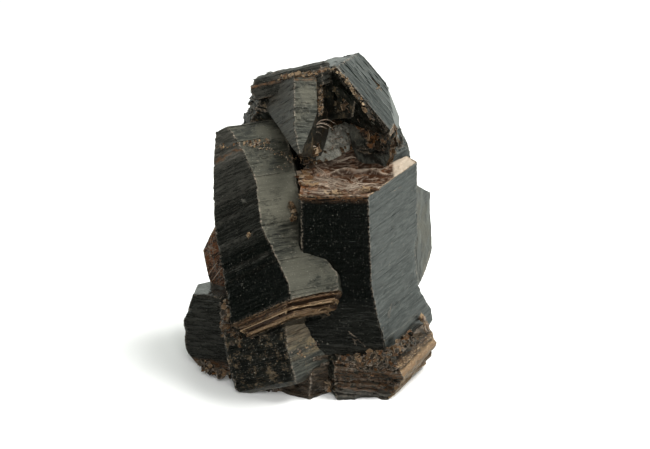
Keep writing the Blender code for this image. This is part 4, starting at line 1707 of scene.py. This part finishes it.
# The way the upper right book's flat face looks.
BASAL = (-0.55, -0.83, -0.09)
SHARDS = (
    # Broken sheets under the rim of the upper right book.
    Shards(
        "broken_sheets", finishes=(BLACK, FLAKY, SLATE, BLACK, GREY),
        path=((10.0, 5.0, 55.5), (13.0, 4.6, 52.0), (16.0, 4.2, 49.5)),
        spread=(1.8, 1.6, 2.4), normal=BASAL, loose=0.45, reach=(0.4, 1.6), count=200, pale=(-0.4, 0.1),
    ),
    Shards(
        "low_sheets", finishes=(FLAKY, BLACK, BLACK, SLATE),
        path=((11.5, 9.5, 49.0), (14.5, 8.0, 48.2), (17.6, 6.5, 47.2)),
        spread=(1.4, 1.2, 1.4), normal=(-0.3, -0.7, 0.6), loose=0.6, reach=(0.6, 2.0), count=90,
    ),
    # Pale frayed flakes along its rim.
    Shards(
        "upper_rim_flakes", finishes=(FLAKY, FLAKY, BLACK),
        path=(
            (2.2, 6.0, 64.0), (5.0, 3.9, 65.2), (7.4, 2.5, 63.1), (8.6, 1.9, 61.2), (11.0, 0.7, 58.5),
        ),
        spread=(0.25, 0.25, 0.3), normal=BASAL, loose=0.8, reach=(0.12, 0.4), count=260,
        thick=(0.03, 0.08), pale=(-0.2, 0.7),
    ),
    Shards(
        "upper_side_flakes", finishes=(FLAKY, SLATE, BLACK, GREY),
        path=((10.8, 1.0, 58.6), (12.3, 0.4, 56.8), (14.0, 0.2, 54.8), (15.8, 1.0, 52.0)),
        spread=(0.6, 0.4, 0.7), normal=BASAL, loose=0.7, reach=(0.2, 0.8), count=80, thick=(0.03, 0.1),
    ),
    # The brown strip down the right of the upper left book.
    Shards(
        "brown_strip", finishes=(FLAKY, CRUST),
        path=((1.9, 6.2, 63.4), (2.0, 2.0, 60.0), (2.1, -1.0, 57.0)),
        spread=(0.45, 0.5, 0.6), normal=(0.6, -0.7, 0.2), loose=0.7, reach=(0.12, 0.4), count=190,
        thick=(0.03, 0.1), pale=(-0.2, 0.25),
    ),
    # Brown flakes in the seam under the cap of the upper left book.
    Shards(
        "cap_seam", finishes=(FLAKY, LEAVES, CRUSTED),
        path=((-11.5, 16.0, 57.8), (-7.5, 10.0, 60.8), (-3.3, 4.5, 63.6), (1.7, 4.6, 63.8)),
        spread=(0.3, 0.4, 0.3), normal=(-0.1, -0.5, 0.85), loose=0.35, reach=(0.15, 0.6), count=170,
        thick=(0.03, 0.08), pale=(-0.3, 0.35),
    ),
    # Grey flakes on the sloping break behind the crown.
    Shards(
        "slope_flakes", finishes=(SPECKLED,),
        path=(
            (2.6, 7.0, 46.2), (9.3, 13.2, 45.9), (7.2, 14.5, 48.7), (4.0, 9.6, 47.3), (6.8, 11.5, 46.5),
        ),
        spread=(0.5, 0.5, 0.35), normal=(0.54, -0.54, 0.64), loose=0.5, reach=(0.15, 0.6), count=300,
        thick=(0.03, 0.12), pale=(-0.3, 0.1),
    ),
    # Torn sheets filling the break under the rim of the upper right book.
    Shards(
        "torn_sheets", finishes=(GREY, SLATE, FLAKY, BLACK, CRUSTED),
        path=((7.6, 4.0, 57.2), (11.2, 3.6, 55.2), (14.0, 3.4, 52.4), (16.4, 4.0, 49.8)),
        spread=(1.3, 1.0, 1.6), normal=BASAL, loose=0.4, reach=(0.2, 0.9), count=300,
        thick=(0.04, 0.14), pale=(-0.4, 0.0),
    ),
    # The brown break under the pocket between the upper books.
    Shards(
        "pocket_foot", finishes=(FLAKY, LEAVES, BLACK),
        path=((-1.6, 0.6, 48.6), (0.6, 1.6, 48.4), (-0.9, 1.8, 45.6)),
        spread=(1.1, 0.9, 0.9), normal=(0.1, -0.6, 0.8), loose=0.5, reach=(0.4, 1.3), count=80,
        pale=(-0.3, 0.6),
    ),
    # Flakes along the ledges at the top of the left book.
    Shards(
        "left_top_flakes", finishes=(FLAKY, LEAVES, GREY),
        path=((-18.8, 2.0, 48.5), (-15.5, 0.8, 49.5), (-12.3, -0.5, 50.4), (-8.0, 1.4, 50.7)),
        spread=(0.8, 0.5, 0.6), normal=(-0.2, -0.75, 0.6), loose=0.25, reach=(0.06, 0.4), count=150,
        thick=(0.02, 0.06), pale=(-0.3, 0.4),
    ),
    Shards(
        "left_specks", finishes=(LEAVES, CROWN),
        path=((-11.1, -0.3, 50.1), (-7.2, -0.4, 48.6), (-3.5, -0.7, 47.2), (-6.6, -3.5, 46.1)),
        spread=(0.9, 0.5, 0.5), normal=(0.33, -0.7, 0.64), loose=0.2, reach=(0.04, 0.15), count=110,
        thick=(0.02, 0.05), pale=(0.0, 0.7),
    ),
    Shards(
        "left_spot", finishes=(FLAKY, LEAVES),
        path=((-12.3, -10.3, 34.8), (-12.8, -10.3, 33.8)),
        spread=(0.3, 0.15, 0.3), normal=(-0.62, -0.71, 0.33), loose=0.4, reach=(0.12, 0.4), count=16,
        thick=(0.02, 0.06), pale=(0.0, 0.7),
    ),
    Shards(
        "left_inner_patch", finishes=(FLAKY, CRUSTED),
        path=((-3.8, -6.6, 39.5), (-3.2, -8.6, 37.0)),
        spread=(0.4, 0.4, 0.6), normal=(0.5, -0.7, 0.5), loose=0.4, reach=(0.2, 0.8), count=36,
        pale=(-0.2, 0.4),
    ),
    Shards(
        "left_seam", finishes=(FLAKY, CRUST, BLACK, LEAVES),
        path=((-16.9, -11.5, 19.5), (-17.7, -9.5, 12.7), (-14.5, -12.6, 11.5)),
        spread=(0.8, 0.9, 1.4), normal=(-0.4, -0.8, 0.4), loose=0.7, reach=(0.2, 0.8), count=150,
        pale=(-0.5, 0.1),
    ),
    # A pale shell at the right foot.
    Shards(
        "right_shell", finishes=(LEAVES, CROWN),
        path=((22.6, 0.4, 11.0), (24.0, -1.0, 10.2), (24.4, -3.0, 9.0)),
        spread=(0.4, 0.5, 0.4), normal=(0.75, -0.4, 0.4), loose=0.3, reach=(0.3, 0.8), count=46,
        pale=(-0.2, 0.5),
    ),
    # The crust round the foot.
    Shards(
        "foot_flakes", finishes=(CRUST, CRUSTED, FLAKY),
        path=((-13.3, -11.8, 1.2), (-4.3, -12.6, 1.4), (2.0, -13.6, 1.8), (7.0, -14.2, 2.2)),
        spread=(2.2, 1.0, 1.1), normal=(0.0, -0.7, 0.7), loose=0.8, reach=(0.3, 1.2), count=300,
        pale=(-0.3, 0.6),
    ),
    Shards(
        "low_left_flakes", finishes=(CRUST, FLAKY, BLACK),
        path=((-23.2, -5.0, 2.0), (-20.0, -8.1, 2.0), (-16.0, -9.8, 1.6)),
        spread=(0.7, 0.5, 0.9), normal=(-0.4, -0.7, 0.5), loose=0.7, reach=(0.2, 0.8), count=110,
        pale=(-0.3, 0.4),
    ),
    Shards(
        "low_right_flakes", finishes=(CRUST, BLACK, CRUSTED, FLAKY),
        path=((7.5, -14.0, 7.5), (12.0, -14.5, 8.5), (16.5, -13.8, 9.0), (21.5, -8.5, 10.5)),
        spread=(1.0, 0.7, 1.0), normal=(0.1, -0.8, 0.6), loose=0.6, reach=(0.2, 0.9), count=240,
        pale=(-0.5, 0.2),
    ),
    Shards(
        "low_right_crust", finishes=(CRUST, CRUSTED, BLACK),
        path=((8.6, -15.2, 6.2), (12.0, -15.5, 6.8), (16.4, -15.1, 7.2)),
        spread=(1.8, 0.3, 1.3), normal=(0.0, -0.8, 0.6), loose=0.5, reach=(0.3, 1.0), count=240,
        pale=(-0.5, 0.1),
    ),
    Shards(
        "crown_flakes", finishes=(CROWN, FLAKY, LEAVES, CROWN),
        path=(
            (-1.2, 1.0, 44.2), (-0.8, -6.0, 44.2), (2.5, -10.4, 44.2), (8.0, -11.6, 44.25),
            (13.0, -9.6, 44.25),
        ),
        spread=(1.3, 1.1, 0.1), normal=(0.0, 0.0, 1.0), loose=0.14, reach=(0.3, 1.3), count=190,
        thick=(0.02, 0.06), pale=(-0.4, 0.5), curl=0.2,
    ),
    Shards(
        "patina_flakes", finishes=(LEAVES, CROWN, GREY),
        path=((-4.6, -17.3, 9.6), (-2.1, -16.1, 11.0), (2.0, -13.4, 11.2), (4.8, -10.4, 12.6)),
        spread=(1.4, 0.6, 1.2), normal=(0.45, -0.8, 0.35), loose=0.15, reach=(0.06, 0.35), count=130,
        thick=(0.02, 0.04), pale=(-0.2, 0.5),
    ),
)

RIGHT_CROWN = Crown(BOOKS[0])
STRANDS = (
    Strands(
        "crown_fibres",
        runs=(
            ((-0.1, 1.0, 0.0), (9.4, -10.1, 0.0)), ((1.6, -1.2, 0.0), (10.4, -9.6, 0.0)),
            ((-0.7, -2.3, 0.0), (7.0, -10.1, 0.0)), ((-1.2, -8.0, 0.0), (5.0, -7.0, 0.0)),
            ((2.4, -2.8, 0.0), (8.5, -6.5, 0.0)), ((0.5, -3.0, 0.0), (11.0, -9.2, 0.0)),
            ((8.1, -0.7, 0.0), (9.7, -7.0, 0.0)), ((-1.0, -10.0, 0.0), (6.0, -11.5, 0.0)),
            ((0.5, 2.5, 0.0), (3.0, -4.0, 0.0)), ((4.0, 5.5, 0.0), (10.0, 9.0, 0.0)),
            ((6.0, -9.0, 0.0), (14.0, -7.5, 0.0)), ((7.5, -8.0, 0.0), (11.5, -5.0, 0.0)),
        ),
        crown=RIGHT_CROWN, copies=6, radius=(0.04, 0.09),
    ),
    Strands(
        "pocket_arcs",
        runs=(
            ((-0.6, -0.2, 53.3), (5.0, 0.0, 53.4)), ((0.0, 0.0, 52.4), (4.2, 0.2, 52.6)),
            ((0.6, -0.2, 53.9), (5.4, 0.2, 54.2)), ((-0.3, 0.4, 51.2), (2.6, 0.6, 51.3)),
        ),
        lift=1.5, copies=3, spread=0.22, bow=0.05, radius=(0.025, 0.06),
    ),
    Strands(
        "plate_lines",
        runs=(
            ((-22.7, 10.0, 23.0), (-19.7, 6.6, 23.3)), ((-19.7, 5.7, 21.0), (-23.0, 7.6, 15.6)),
            ((-18.8, 4.4, 20.4), (-21.3, 5.8, 16.1)), ((-21.3, 5.8, 16.1), (-19.4, 3.2, 15.2)),
        ),
        copies=2, spread=0.12, bow=0.03, radius=(0.03, 0.07),
    ),
    Strands(
        "scratch",
        runs=(((15.4, -12.2, 15.0), (17.3, -7.2, 18.6)), ((12.5, -12.4, 42.3), (21.8, 3.6, 41.0))),
        copies=2, spread=0.1, bow=0.02, radius=(0.02, 0.04),
    ),
    Strands(
        "pocket_lip",
        runs=(((-1.3, -0.5, 49.5), (1.5, -0.3, 49.6)),),
        lift=0.25, copies=5, spread=0.15, bow=0.05, radius=(0.05, 0.10),
    ),
    Strands(
        "left_book_line",
        runs=(((-12.3, -1.0, 50.15), (-9.9, 0.4, 50.4)),),
        lift=0.25, copies=5, spread=0.12, bow=0.05, radius=(0.03, 0.07),
    ),
    Strands(
        "low_fibres",
        runs=(
            ((7.1, -13.5, 14.3), (10.5, -13.5, 12.0)), ((8.5, -13.5, 13.1), (11.8, -13.5, 10.4)),
            ((9.0, -13.5, 12.5), (9.4, -13.5, 10.6)),
        ),
        copies=3, spread=0.4, radius=(0.015, 0.03),
    ),
)


class Cluster:
    """The whole cluster, as the pieces that are its crystals."""

    def __init__(self) -> None:
        """Make the finishes."""
        effects = Effects()
        self.finishes = {Finish(item.name): item.build(effects) for item in WALLS + ENDS}

    def build(self) -> None:
        """Build and dress each book."""
        for book in BOOKS:
            self._keep(BookMesh(book, self.finishes).build())
        for part in (RIGHT_CROWN, *STRANDS, *SHARDS):
            self._keep(part.build(self.finishes))

    @staticmethod
    def _keep(piece: Object) -> None:
        """Tie a piece to the cluster's body, and hide the imported node.

        Args:
            piece: one of the cluster's meshes.
        """
        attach(piece, BODY)
        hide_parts(NODE)
        LOG.info("%s: %d faces", piece.name, len(piece.data.polygons))


def main() -> None:
    """Build the scene."""
    logging.basicConfig(level=logging.INFO, format="%(message)s")
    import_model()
    Studio().build()
    Cluster().build()
    bpy.context.view_layer.update()


if __name__ == "__main__":
    main()
